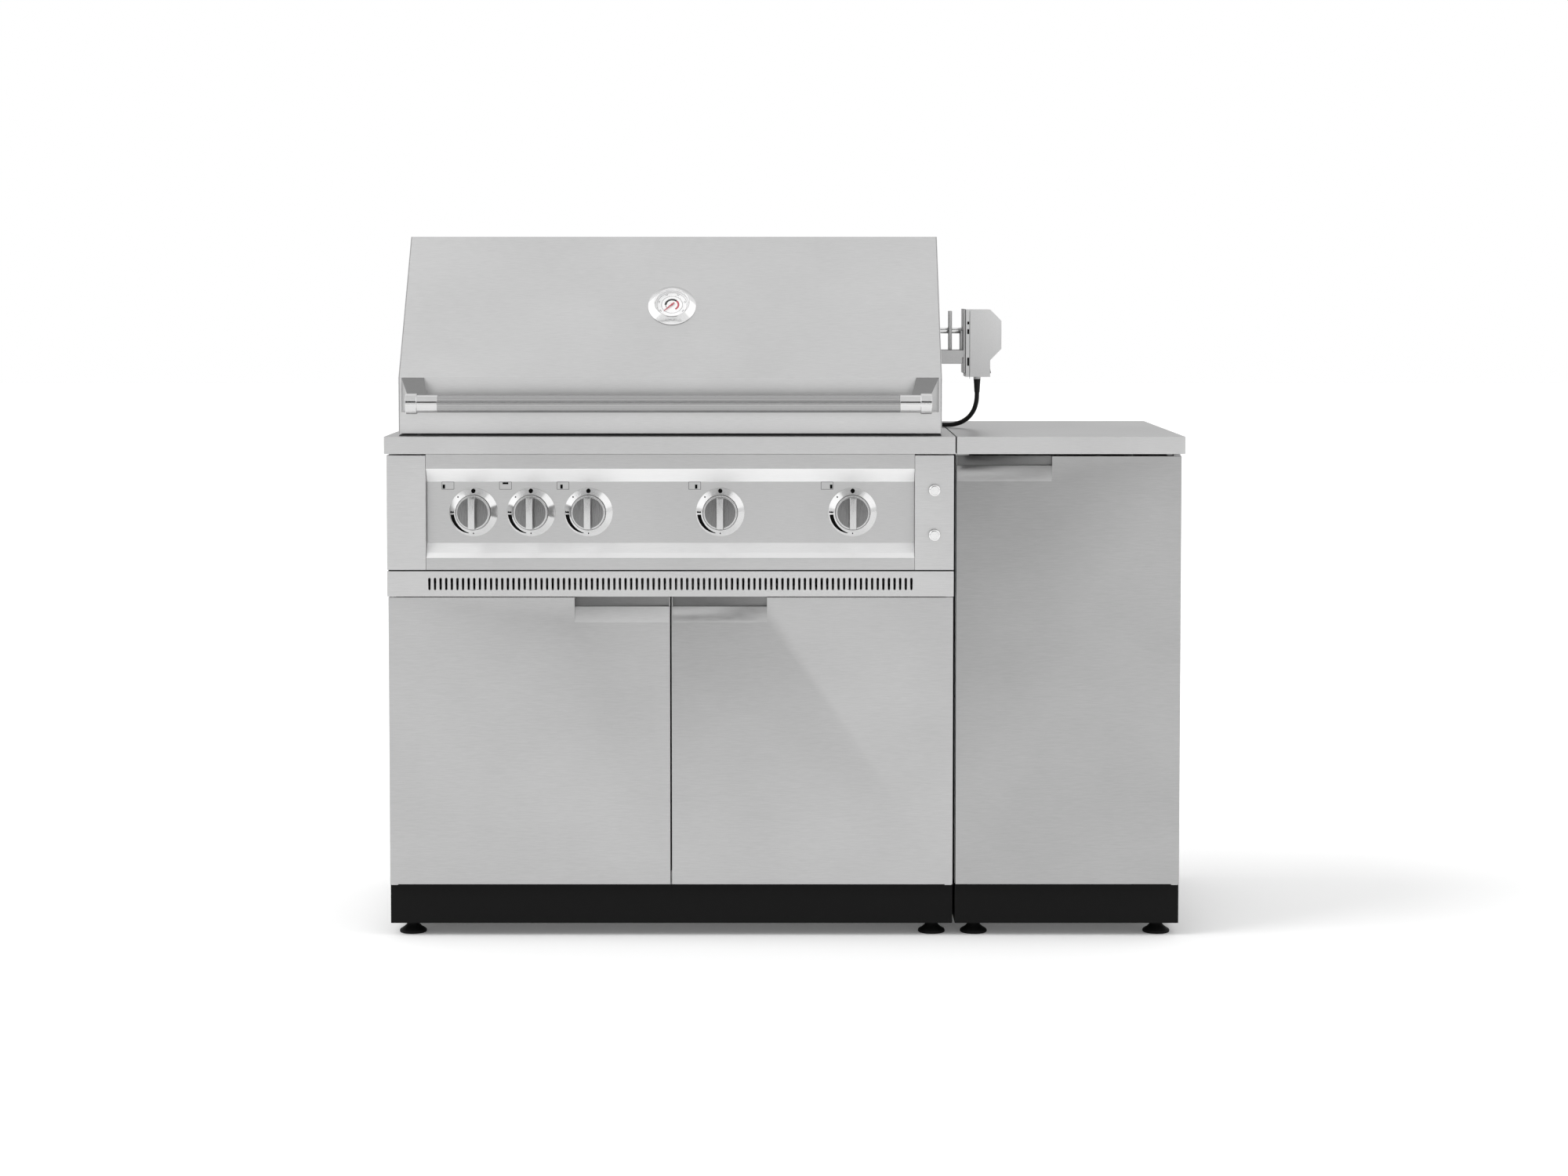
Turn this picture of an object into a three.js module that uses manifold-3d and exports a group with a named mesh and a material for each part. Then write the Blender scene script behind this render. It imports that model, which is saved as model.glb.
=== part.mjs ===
// Outdoor kitchen island: a built-in gas grill with a rotisserie over a two-door cabinet, and a one-door
// side cabinet. Millimetres. x runs to the right, y from the front to the back, z up from the floor.
// Inside each cabinet's group x counts from the cabinet's middle and y from the front edge of its worktop.
import * as THREE from "three";
import { mergeVertices } from "three/addons/utils/BufferGeometryUtils.js";
import Module from "manifold-3d";

const wasm = await Module();
wasm.setup();

// Driving dimensions
const sheet = 1.5; // stainless sheet of every folded panel
const seat = 0.3; // gap that a piece keeps to what carries it
const overrun = 1; // how far a cutting shape runs past what it cuts
const worktopHeight = 905;
const worktopDepth = 610;
const worktopEdge = 31; // height of the worktop's folded edge
const worktopReturn = 16; // the edge's fold back under the top
const grillWidth = 1016;
const sideWidth = 406;
const unitGap = 2.4; // seam between the two cabinets
const roundSides = 12;
const fineSides = 20;

// Base and feet
const baseSetback = 48;
const baseRearSetback = 12;
const baseSideInset = 1;
const baseBottom = 22.6;
const baseTop = 93.2;
const baseFlange = 62; // inward fold that the feet screw into
const footInset = 36;
const footRadius = 24.5;
const footRim = 4;
const footConeTop = 15;
const footNeck = 10;
const footStemTop = 44;

// Cabinet panels
const panelFront = 61; // front edge of the side panels
const panelFlange = 24; // their fold at the front and at the back
const panelSideInset = 1;
const backSetback = 14;
const gasHoleRadius = 32;
const gasHoleHeight = 300;
const gasHolePlace = -250; // left of the doors' middle
const shelfHeight = 470;
const shelfFold = 22;

// Doors
const doorFront = 38;
const doorThick = 20;
const doorBottom = 95.4;
const doorSideInset = 1.5;
const doorGap = 3.1; // between the two doors
const pullWidth = 171;
const pullHeight = 45;
const pullLipHeight = 28; // the leaning lip that the fingers reach over
const pullLean = 6;
const pullPocket = 12;
const linerFold = 6;
const hingeInset = 7.5; // pivot from the door's outer edge
const hingeSetback = 9; // pivot behind the door's face
const hingePinRadius = 3;
const hingePinReach = 8;
const hingePlateThick = 1.4;
const hingePlateHalf = 6;
const hingeTopGap = 0.7; // plate over the door's top edge
const hingePinPlay = 0.4;

// Front of the grill
const fasciaFront = 22;
const fasciaTop = worktopHeight - worktopEdge - 3.4;
const fasciaBottom = fasciaTop - 205.3;
const stileWidth = 71;
const stileInner = grillWidth / 2 - stileWidth;
const stileFold = 14;
const ventTop = fasciaBottom - 2.5;
const ventBottom = ventTop - 45.3;
const slotPitch = 10.02;
const slotWidth = 4.6;
const slotHeight = 22;
const slotSpan = grillWidth - 154; // from the first slot's middle to the last one's
const grillDoorTop = ventBottom - 3.2;
const sideDoorTop = fasciaTop - 2.4;
const recessDepth = 18; // how far the control panel's face lies back
const rimHeight = 24.6;
const upperSlopeHeight = 23.2;
const lowerRimHeight = 21.1;
const lowerSlopeHeight = 25.8;
const panelLip = 16;

// Knobs, bezels and buttons
const knobPlaces = [
  84 - stileInner,
  187 - stileInner,
  290 - stileInner,
  stileInner - 348,
  stileInner - 111,
];
const bezelRadius = 43.5;
const bezelTopRadius = 34;
const bezelHeight = 9;
const bezelEdge = 1.2;
const bezelBore = 31.8;
const knobRadius = 30.4;
const knobStart = 2.5; // from the panel's face to the knob's back
const knobDisc = 17;
const knobRound = 2.5;
const gripWidth = 14.6;
const gripHeight = 26;
const gripTaper = 3;
const knobStemRadius = 4;
const stemHolePlay = 1.5;
const valveDepth = 34;
const valveHalfWidth = 12;
const valveHalfHeight = 15;
const manifoldRadius = 10;
const manifoldHalfLength = stileInner - 37;
const buttonRadius = 10.5;
const buttonHeight = 4;
const buttonDome = 2;
const buttonTravel = 3;
const buttonStemRadius = 6;
const buttonStemLength = 18;
const buttonPlay = 0.4;
const buttonRise = 40; // upper button above the middle of the fascia
const buttonDrop = 40;

// Grill body
const cutoutSideInset = 28; // worktop left at each side of its cut-out
const cutoutBackInset = 58; // and behind it
const cutoutHalfWidth = grillWidth / 2 - cutoutSideInset;
const cutoutFront = 66;
const cutoutBack = worktopDepth - cutoutBackInset;
const boxSidePlay = 6; // between the fire box and the cut-out
const boxBackPlay = 7;
const boxHalfWidth = cutoutHalfWidth - boxSidePlay;
const boxFront = 130;
const boxBack = cutoutBack - boxBackPlay;
const boxWall = 2;
const boxShoulder = worktopHeight - 138; // where the slopes of the bottom start
const boxFloor = boxShoulder - 39;
const floorHalfWidth = boxHalfWidth - 174;
const floorDepth = 240;
const drainHalfWidth = floorHalfWidth - 60;
const drainDepth = 120;
const flangeFront = 28;
const flangeSideReach = cutoutHalfWidth + 4;
const flangeBack = cutoutBack + 5;
const ledgeWidth = 12;
const grateLedge = worktopHeight - 21;
const tamerLedge = worktopHeight - 72;
const pivotSetback = 25; // from the fire box's back to the hood's pivots
const pivotDepth = boxBack - pivotSetback;
const earFront = pivotDepth - 32;
const hoodBottom = worktopHeight + 4.3;
const pivotRise = 150.7; // from the hood's lower edge
const pivotHeight = hoodBottom + pivotRise;
const earTop = pivotHeight + 28;
const hoodBackHeight = pivotHeight + 68;
const shroudTop = hoodBackHeight - 24;
const pivotRadius = 6;
const pivotHeadRadius = 11;
const pivotHeadThick = 4;
const burnerRadius = 19;
const burnerHeight = boxShoulder + 25;
const burnerFront = 116;
const burnerBack = boxBack - 45;
const carryTubeRadius = 8;
const carryTubeSetback = 60;
const grateCount = 4;
const grateStep = (2 * (boxHalfWidth - boxWall)) / grateCount;
const burnerPlaces = [-1.5, -0.5, 0.5, 1.5].map((share) => share * grateStep);
const grateGap = 4;
const rodRadius = 4;
const rodSides = 6;
const rodPitch = 23;
const crossWidth = 8; // end bars that the rods are welded between
const crossHeight = 9;
const tamerWidth = 150;
const tamerRise = 26;
const tamerSlots = 3;
const tamerSlotLength = 70;
const tamerSlotWidth = 7;
const rearBurnerHalfWidth = boxHalfWidth - 144;
const rearBurnerBottom = worktopHeight + 25;
const rearBurnerHeight = 88;
const rearBurnerDepth = 24;
const rearBurnerBars = 14;
const rearBurnerRim = 12;
const rearBurnerBar = 8;
const trayHalfWidth = floorHalfWidth - 30;
const trayDepth = 200;
const trayHeight = 26;
const trayRim = 12;
const railDrop = 14;
const railFold = 10;

// Hood
const hoodSideInset = 22.8; // from the worktop's end to the hood's side
const hoodHalfWidth = grillWidth / 2 - hoodSideInset;
const hoodFront = 30;
const hoodLipHeight = hoodBottom + 100.2;
const hoodTop = hoodBottom + 353.7;
const hoodTopFront = 225;
const hoodBack = boxBack + 1;
const hoodTopBack = hoodBack - 116;
const hoodFold = 16;
const sideFold = 10;
const cheekFront = 62; // where the fixed cheek starts at the bottom
const cheekGap = 3; // running gap between the hood's sides and the cheeks
const pivotBoss = 22; // metal of the hood's side round the pivot
const bumperRadius = 5;
const bumperInset = 36.4;
const handleReach = 60; // from the hood's face to the handle's middle
const handleRise = 55.5; // from the hood's lower edge
const handleHeight = hoodBottom + handleRise;
const handleRadius = 15.8;
const capRadius = 18.5;
const capSideInset = 21.2; // from the hood's side to the handle's end
const capLength = 20;
const capOuter = hoodHalfWidth - capSideInset;
const capInner = capOuter - capLength;
const capBore = 12;
const bracketRootOuter = hoodHalfWidth - 4.2;
const bracketRootInner = bracketRootOuter - 39;
const bracketRootTop = handleHeight + 42.2;
const bracketRootBottom = handleHeight - 17.8;

// Thermometer on the hood's slope
const gaugeRadius = 42.5;
const gaugeWindow = 30.5;
const gaugeHeight = 11;
const gaugeFloor = 2;
const dialThick = 1;
const needleLength = 23;
const needleTail = 8;
const needleHalfWidth = 1.3;
const needleThick = 1;
const needleHub = 3;
const needleLift = 0.8;
const glassThick = 2;
const glassLedge = 1.4;
const probeRadius = 4;
const probeLength = 60;
const needleRestShare = 0.625; // of a full turn, from the dial's top: lower left

// Rotisserie
const spitDepth = pivotDepth - 220;
const spitHeight = pivotHeight + 29;
const spitRadius = 5.5;
const spitLeftEnd = hoodHalfWidth + 11.8;
const spitSlotPlay = 3.5;
const forkPlace = 230;
const forkReach = 62;
const forkLength = 110;
const forkTine = 3;
const forkHub = 12;
const forkHubLength = 24;
const bracketPlate = 3;
const bracketHalfDepth = 32;
const bracketFoot = worktopHeight + 20;
const shelfArmTop = spitHeight - 36;
const shelfArmBottom = shelfArmTop - 14.4;
const shelfFlangeBottom = shelfArmBottom - 11.1;
const shelfArmEnd = hoodHalfWidth + 50.3;
const uprightPlace = hoodHalfWidth + 25.8;
const uprightThick = 6;
const uprightTop = spitHeight + 36.5;
const uprightHalfDepth = 14;
const uprightHole = 8;
const tabThick = 4.6; // stiffener under the spit, in front of the motor plate
const motorPlateInner = hoodHalfWidth + 51.8;
const motorPlateThick = 4.4;
const motorPlateTop = spitHeight + 40.4;
const motorPlateBottom = spitHeight - 79.2;
const motorHalfDepth = 40;
const motorTop = spitHeight + 39.4;
const motorBottom = spitHeight - 85.8;
const motorShoulder = motorPlateInner + 49.8;
const motorNose = motorShoulder + 20.8;
const motorNoseTop = spitHeight + 18.3;
const motorNoseBottom = spitHeight - 33.4;
const motorWaist = spitHeight - 54.8;
const socketDepth = 24;
const socketPlay = 1.2;
const switchHalfDepth = 9;
const switchHalfHeight = 12;
const switchProud = 3.6;
const switchSunk = 6;
const switchDrop = 14; // its middle under the motor's waist
const glandPlace = motorPlateInner + 28;
const glandRadius = 6.8;
const glandHeight = 5;

// Power cord: points along its middle, in the grill group's own x, y and z
const cordRadius = 4.35;
const cordSides = 6;
const cordSteps = 68;
const cordSide = hoodHalfWidth + 10.3; // along the hood's side
const cordBack = worktopDepth + 40; // down behind the cabinets
const cordTop = worktopHeight + 4.8; // on the worktop
const cordFloor = 5.3; // on the floor
const cordRoute = [
  [glandPlace, spitDepth, motorBottom - 5.3],
  [glandPlace, spitDepth, motorBottom - 18.2],
  [glandPlace, spitDepth + 0.5, motorBottom - 33.2],
  [glandPlace - 1.5, spitDepth + 3, motorBottom - 50.2],
  [glandPlace - 8, spitDepth + 9, cordTop + 25.2],
  [glandPlace - 21, spitDepth + 19, cordTop + 10.7],
  [glandPlace - 39, spitDepth + 34, cordTop + 2.2],
  [cordSide + 13.5, spitDepth + 53, cordTop],
  [cordSide + 3.5, spitDepth + 76, cordTop],
  [cordSide + 0.5, spitDepth + 105, cordTop],
  [cordSide, spitDepth + 150, cordTop],
  [cordSide, spitDepth + 200, cordTop],
  [cordSide, cordBack - 100, cordTop],
  [cordSide, cordBack - 52, cordTop + 0.6],
  [cordSide, cordBack - 37, cordTop + 0.6],
  [cordSide, cordBack - 21.5, cordTop - 3.8],
  [cordSide, cordBack - 9, cordTop - 14.3],
  [cordSide, cordBack - 2, cordTop - 29.8],
  [cordSide, cordBack, cordTop - 47.8],
  [cordSide, cordBack, 800],
  [cordSide, cordBack, 700],
  [cordSide, cordBack, 550],
  [cordSide, cordBack, 400],
  [cordSide, cordBack, 250],
  [cordSide, cordBack, 120],
  [cordSide - 1.5, cordBack, 62],
  [cordSide - 9.5, cordBack, 32],
  [cordSide - 27.5, cordBack, 12],
  [cordSide - 53.5, cordBack + 0.5, cordFloor],
  [cordSide - 95.5, cordBack + 3, cordFloor],
  [cordSide - 150.5, cordBack + 12, cordFloor],
  [cordSide - 205.5, cordBack + 18, cordFloor],
  [cordSide - 260.5, cordBack + 13, cordFloor],
  [cordSide - 315.5, cordBack + 3, cordFloor],
  [cordSide - 370.5, cordBack - 1, cordFloor],
  [cordSide - 410.5, cordBack - 1, cordFloor],
  [cordSide - 450.5, cordBack - 1, cordFloor],
];
const plugLength = 38;
const plugHalfWidth = 13;
const plugHalfHeight = 9;
const plugNeck = 12;
const plugNeckLength = 16;
const bladeLength = 17;
const bladeHalfHeight = 3.2;
const bladeThick = 1.5;
const bladeSpread = 6.35;

// Shape helpers: each returns a closed three.js geometry
function solidOf(geometry) {
  const flat = geometry.index ? geometry.toNonIndexed() : geometry;
  const bare = new THREE.BufferGeometry();
  bare.setAttribute("position", flat.getAttribute("position").clone());
  const merged = mergeVertices(bare, 1e-4);
  return new wasm.Manifold(
    new wasm.Mesh({
      numProp: 3,
      vertProperties: merged.attributes.position.array,
      triVerts: new Uint32Array(merged.index.array),
    }),
  );
}

function geometryOf(solid) {
  const mesh = solid.getMesh();
  const geometry = new THREE.BufferGeometry();
  geometry.setAttribute("position", new THREE.BufferAttribute(mesh.vertProperties, 3));
  geometry.setIndex(new THREE.BufferAttribute(mesh.triVerts, 1));
  return geometry;
}

function join(first, ...others) {
  return geometryOf(others.reduce((sum, other) => sum.add(solidOf(other)), solidOf(first)));
}

function cut(first, ...others) {
  return geometryOf(others.reduce((rest, other) => rest.subtract(solidOf(other)), solidOf(first)));
}

// A box between two x, two y and two z values.
function slab(x0, x1, y0, y1, z0, z1) {
  const box = new THREE.BoxGeometry(x1 - x0, y1 - y0, z1 - z0);
  return box.translate((x0 + x1) / 2, (y0 + y1) / 2, (z0 + z1) / 2);
}

const [alongX, alongY, alongZ] = [
  new THREE.Vector3(1, 0, 0),
  new THREE.Vector3(0, 1, 0),
  new THREE.Vector3(0, 0, 1),
];
const axisTurns = {
  x: new THREE.Matrix4().makeBasis(alongY, alongZ, alongX),
  y: new THREE.Matrix4().makeBasis(alongZ, alongX, alongY),
  z: new THREE.Matrix4(),
};

// An outline drawn in (y, z), (z, x) or (x, y) and pushed along x, y or z.
function prism(axis, outline, from, to, holes = []) {
  const shape = new THREE.Shape(outline.map(([a, b]) => new THREE.Vector2(a, b)));
  shape.holes = holes.map((hole) => new THREE.Path(hole.map(([a, b]) => new THREE.Vector2(a, b))));
  const solid = new THREE.ExtrudeGeometry(shape, { depth: to - from, bevelEnabled: false, steps: 1 });
  return solid.translate(0, 0, from).applyMatrix4(axisTurns[axis]);
}

// A round bar along an axis; the centre is given by its two other coordinates, in the outline's order.
function bar(axis, radius, from, to, [a, b], sides = roundSides) {
  const turn = (2 * Math.PI) / sides;
  const ring = Array.from({ length: sides }, (_, i) => [
    a + radius * Math.cos((i + 0.5) * turn),
    b + radius * Math.sin((i + 0.5) * turn),
  ]);
  return prism(axis, ring, from, to);
}

// A profile of [radius, height] points turned round the z axis, from its lower end on the axis
// to its upper one.
function turned(profile, sides = fineSides) {
  const points = profile.map(([radius, height]) => new THREE.Vector2(radius, height));
  return new THREE.LatheGeometry(points, sides).rotateX(Math.PI / 2);
}

function disc(radius, low, high) {
  return turned([
    [0, low],
    [radius, low],
    [radius, high],
    [0, high],
  ]);
}

// A folded sheet: an open line of points given a thickness to its left.
function folded(line, thickness) {
  const points = line.map(([a, b]) => new THREE.Vector2(a, b));
  const normals = points.slice(1).map((point, i) => {
    const run = point.clone().sub(points[i]).normalize();
    return new THREE.Vector2(-run.y, run.x);
  });
  const inner = points.map((point, i) => {
    const before = normals[Math.max(i - 1, 0)];
    const after = normals[Math.min(i, normals.length - 1)];
    const middle = before.clone().add(after);
    return point.clone().addScaledVector(middle, (2 * thickness) / middle.lengthSq());
  });
  return [...points, ...inner.reverse()].map((point) => [point.x, point.y]);
}

// A box whose front end is moved and resized: a straight taper between two rectangles that face along y.
function taperedArm(back, front) {
  const arm = new THREE.BoxGeometry(1, 1, 1);
  const position = arm.getAttribute("position");
  for (let i = 0; i < position.count; i += 1) {
    const end = position.getY(i) > 0 ? back : front;
    const shareX = position.getX(i) + 0.5;
    const shareZ = position.getZ(i) + 0.5;
    const x = end.x[0] + shareX * (end.x[1] - end.x[0]);
    const z = end.z[0] + shareZ * (end.z[1] - end.z[0]);
    position.setXYZ(i, x, end.y, z);
  }
  return arm;
}

function mirrored(geometry) {
  const flat = geometry.index ? geometry.toNonIndexed() : geometry.clone();
  flat.scale(-1, 1, 1);
  const array = flat.getAttribute("position").array;
  for (let i = 0; i < array.length; i += 9) {
    for (let k = 0; k < 3; k += 1) {
      [array[i + 3 + k], array[i + 6 + k]] = [array[i + 6 + k], array[i + 3 + k]];
    }
  }
  const bare = new THREE.BufferGeometry();
  bare.setAttribute("position", flat.getAttribute("position"));
  return bare;
}

// Materials
function metal(color, roughness, metalness) {
  return new THREE.MeshStandardMaterial({ color, roughness, metalness });
}
const brushed = metal(0xc6c6c4, 0.38, 1);
const polished = metal(0xe2e2e2, 0.12, 1);
const blackPaint = metal(0x1c1c1b, 0.55, 0.2);
const castGrey = metal(0xb9b9b7, 0.5, 0.6);
const blackRubber = metal(0x0d0d0d, 0.6, 0);
const dialWhite = metal(0xf4f4f4, 0.5, 0);
const needleRed = metal(0xb02030, 0.4, 0);
const clearGlass = metal(0xeef4f4, 0.05, 0);
clearGlass.transparent = true;
clearGlass.opacity = 0.3;

function piece(parent, name, geometry, material) {
  const shaped = geometry.index ? geometry : mergeVertices(geometry);
  shaped.deleteAttribute("uv");
  shaped.deleteAttribute("normal");
  shaped.computeVertexNormals();
  const mesh = new THREE.Mesh(shaped, material);
  mesh.name = name;
  parent.add(mesh);
  return mesh;
}

// Worktop: a shallow tray turned over, with its edge folded back under it
function worktop(width) {
  const half = width / 2;
  const bottom = worktopHeight - worktopEdge;
  return cut(
    slab(-half, half, 0, worktopDepth, bottom, worktopHeight),
    slab(-half + sheet, half - sheet, sheet, worktopDepth - sheet, bottom + sheet, worktopHeight - sheet),
    slab(
      -half + worktopReturn,
      half - worktopReturn,
      worktopReturn,
      worktopDepth - worktopReturn,
      bottom - overrun,
      bottom + sheet + overrun,
    ),
  );
}

// Base: a black frame with an inward fold, on four levelling feet
function base(width) {
  const half = width / 2 - baseSideInset;
  const back = worktopDepth - baseRearSetback;
  const frame = cut(
    slab(-half, half, baseSetback, back, baseBottom, baseTop),
    slab(
      -half + sheet,
      half - sheet,
      baseSetback + sheet,
      back - sheet,
      baseBottom + sheet,
      baseTop + overrun,
    ),
    slab(
      -half + baseFlange,
      half - baseFlange,
      baseSetback + baseFlange,
      back - baseFlange,
      baseBottom - overrun,
      baseBottom + sheet + overrun,
    ),
  );
  const feet = [];
  for (const x of [-half + footInset, half - footInset]) {
    for (const y of [baseSetback + footInset, back - footInset]) {
      const profile = [
        [0, 0],
        [footRadius, 0],
        [footRadius, footRim],
        [footNeck, footConeTop],
        [footNeck, footStemTop],
        [0, footStemTop],
      ];
      feet.push(turned(profile, roundSides).translate(x, y, 0));
    }
  }
  return join(frame, ...feet);
}

const panelBottom = baseTop + seat;
const panelTop = worktopHeight - worktopEdge - seat;
const panelBack = worktopDepth - backSetback;

// Side panel: a sheet folded inwards at the front and the back, with hinge plates and pins for a door
function sidePanel(width, hand, doorTop) {
  const outer = width / 2 - panelSideInset;
  const line = [
    [outer - panelFlange, panelFront],
    [outer, panelFront],
    [outer, panelBack],
    [outer - panelFlange, panelBack],
  ];
  const parts = [prism("z", folded(line, sheet), panelBottom, panelTop)];
  if (doorTop) {
    const pinX = width / 2 - doorSideInset - hingeInset;
    const pinY = doorFront + hingeSetback;
    const topPlate = doorTop + hingeTopGap;
    const ends = [
      [topPlate, topPlate - hingePinReach],
      [panelBottom, doorBottom + hingePinReach],
    ];
    for (const [plate, pinEnd] of ends) {
      parts.push(
        slab(
          pinX - hingePlateHalf,
          pinX + hingePlateHalf,
          pinY - hingePlateHalf,
          panelFront + sheet / 2,
          plate,
          plate + hingePlateThick,
        ),
      );
      const middle = plate + hingePlateThick / 2;
      const [pinLow, pinHigh] = [Math.min(middle, pinEnd), Math.max(middle, pinEnd)];
      parts.push(bar("z", hingePinRadius, pinLow, pinHigh, [pinX, pinY]));
    }
  }
  const right = join(...parts);
  return hand > 0 ? right : mirrored(right);
}

function backPanel(width, gasHole) {
  const half = width / 2 - panelSideInset - panelFlange - seat;
  const plate = slab(-half, half, panelBack - sheet, panelBack, panelBottom, panelTop);
  const folds = [panelBottom, panelTop - sheet].map((z) =>
    slab(-half, half, panelBack - panelFlange, panelBack - sheet / 2, z, z + sheet),
  );
  const panel = join(plate, ...folds);
  if (!gasHole) {
    return panel;
  }
  const start = panelBack - sheet - overrun;
  const spot = [gasHoleHeight, gasHolePlace];
  return cut(panel, bar("y", gasHoleRadius, start, panelBack + overrun, spot, fineSides));
}

function floorPanel(width) {
  const half = width / 2 - panelSideInset - sheet - seat;
  const front = panelFront + sheet + seat;
  const back = panelBack - panelFlange - seat;
  const thick = panelBottom + sheet;
  const sunkFront = slab(-half, half, front, front + sheet, panelBottom, panelBottom + shelfFold);
  const sunkBack = slab(-half, half, back - sheet, back, panelBottom, panelBottom + shelfFold);
  return join(slab(-half, half, front, back, panelBottom, thick), sunkFront, sunkBack);
}

function shelf(width, height) {
  const half = width / 2 - panelSideInset - sheet - seat;
  const front = panelFront + sheet + seat;
  const back = panelBack - panelFlange - seat;
  return cut(
    slab(-half, half, front, back, height - shelfFold, height),
    slab(
      -half + sheet,
      half - sheet,
      front + sheet,
      back - sheet,
      height - shelfFold - overrun,
      height - sheet,
    ),
  );
}

// Door: an outer pan with a stamped finger pull at its free top corner; built with the pivot on the right
function doorPan(left, right, top, hand) {
  const back = doorFront + doorThick;
  const shell = cut(
    slab(left, right, doorFront, back, doorBottom, top),
    slab(left + sheet, right - sheet, doorFront + sheet, back + overrun, doorBottom + sheet, top - sheet),
  );
  const pullRight = left + pullWidth;
  const pullBottom = top - pullHeight;
  const lipTop = pullBottom + pullLipHeight;
  // The cup fills the corner with metal, and the recess is then cut into it.
  const cup = slab(left, pullRight + sheet, doorFront, back - sheet - seat, pullBottom - sheet, top);
  const front = doorFront;
  const recess = [
    [front - overrun, pullBottom],
    [front, pullBottom],
    [front + pullLean, lipTop],
    [front + pullLean + sheet, lipTop],
    [front + pullLean + sheet, lipTop - pullPocket],
    [back - 2 * sheet - seat, lipTop - pullPocket],
    [back - 2 * sheet - seat, top + overrun],
    [front - overrun, top + overrun],
  ];
  const hollow = prism("x", recess, left + sheet, pullRight);
  const outerNotch = slab(
    left - overrun,
    left + sheet + overrun,
    front - overrun,
    front + pullLean,
    lipTop,
    top + overrun,
  );
  const pinX = right - hingeInset;
  const pinY = doorFront + hingeSetback;
  const hole = hingePinRadius + hingePinPlay;
  const drilled = cut(
    join(shell, cup),
    hollow,
    outerNotch,
    bar("z", hole, top - sheet - overrun, top + overrun, [pinX, pinY]),
    bar("z", hole, doorBottom - overrun, doorBottom + sheet + overrun, [pinX, pinY]),
  );
  return hand > 0 ? drilled : mirrored(drilled);
}

function doorLiner(left, right, top, hand) {
  const inset = sheet + seat;
  const back = doorFront + doorThick;
  const cupBack = back - sheet - seat;
  const plate = slab(left + inset, right - inset, back - sheet, back, doorBottom + inset, top - inset);
  const pullRight = left + pullWidth + sheet;
  const frame = cut(
    slab(left + inset, right - inset, back - linerFold, back - sheet / 2, doorBottom + inset, top - inset),
    slab(
      left + inset + sheet,
      right - inset - sheet,
      back - linerFold - overrun,
      back,
      doorBottom + inset + sheet,
      top - inset - sheet,
    ),
    slab(
      left - overrun,
      pullRight + seat,
      back - linerFold - overrun,
      cupBack + seat,
      top - pullHeight - sheet - seat,
      top + overrun,
    ),
  );
  const liner = join(plate, frame);
  return hand > 0 ? liner : mirrored(liner);
}

// Front of the grill: stiles, control panel, vent strip
const fasciaHalf = grillWidth / 2 - sheet;
const buttonMiddle = (fasciaTop + fasciaBottom) / 2;
const buttonX = (fasciaHalf + stileInner) / 2;
const buttonHeights = [buttonMiddle + buttonRise, buttonMiddle - buttonDrop];

function stile(hand) {
  const back = panelFront - seat;
  const shell = cut(
    slab(stileInner, fasciaHalf, fasciaFront, back, fasciaBottom, fasciaTop),
    slab(
      stileInner + sheet,
      fasciaHalf - sheet,
      fasciaFront + sheet,
      back - sheet,
      fasciaBottom + sheet,
      fasciaTop - sheet,
    ),
    slab(
      stileInner + stileFold,
      fasciaHalf - stileFold,
      back - sheet - overrun,
      back + overrun,
      fasciaBottom + stileFold,
      fasciaTop - stileFold,
    ),
  );
  if (hand < 0) {
    return mirrored(shell);
  }
  const holes = buttonHeights.map((z) =>
    bar("y", buttonStemRadius + buttonPlay, fasciaFront - overrun, fasciaFront + sheet + overrun, [
      z,
      buttonX,
    ]),
  );
  return cut(shell, ...holes);
}

const controlHalf = stileInner - seat;
const faceDepth = fasciaFront + recessDepth;
const faceTop = fasciaTop - rimHeight - upperSlopeHeight;
const faceBottom = fasciaBottom + lowerRimHeight + lowerSlopeHeight;
const knobHeight = (faceTop + faceBottom) / 2;

// Bezel: a shallow dish with a bore for the knob
function bezelRing() {
  const profile = [
    [bezelBore, -sheet / 2],
    [bezelRadius, -sheet / 2],
    [bezelRadius, bezelEdge],
    [bezelTopRadius, bezelHeight],
    [bezelBore, bezelHeight],
    [bezelBore, -sheet / 2],
  ];
  return turned(profile, fineSides).rotateX(Math.PI / 2);
}

function controlPanel() {
  const line = [
    [fasciaFront + panelLip, fasciaTop - sheet],
    [fasciaFront, fasciaTop - sheet],
    [fasciaFront, fasciaTop - rimHeight],
    [faceDepth, faceTop],
    [faceDepth, faceBottom],
    [fasciaFront, fasciaBottom + lowerRimHeight],
    [fasciaFront, fasciaBottom],
    [fasciaFront + panelLip, fasciaBottom],
  ];
  const panel = prism("x", folded(line, sheet), -controlHalf, controlHalf);
  const bezels = knobPlaces.map((x) => bezelRing().translate(x, faceDepth, knobHeight));
  const holes = knobPlaces.map((x) =>
    bar("y", knobStemRadius + stemHolePlay, faceDepth - overrun, faceDepth + sheet + overrun, [
      knobHeight,
      x,
    ]),
  );
  return cut(join(panel, ...bezels), ...holes);
}

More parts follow.
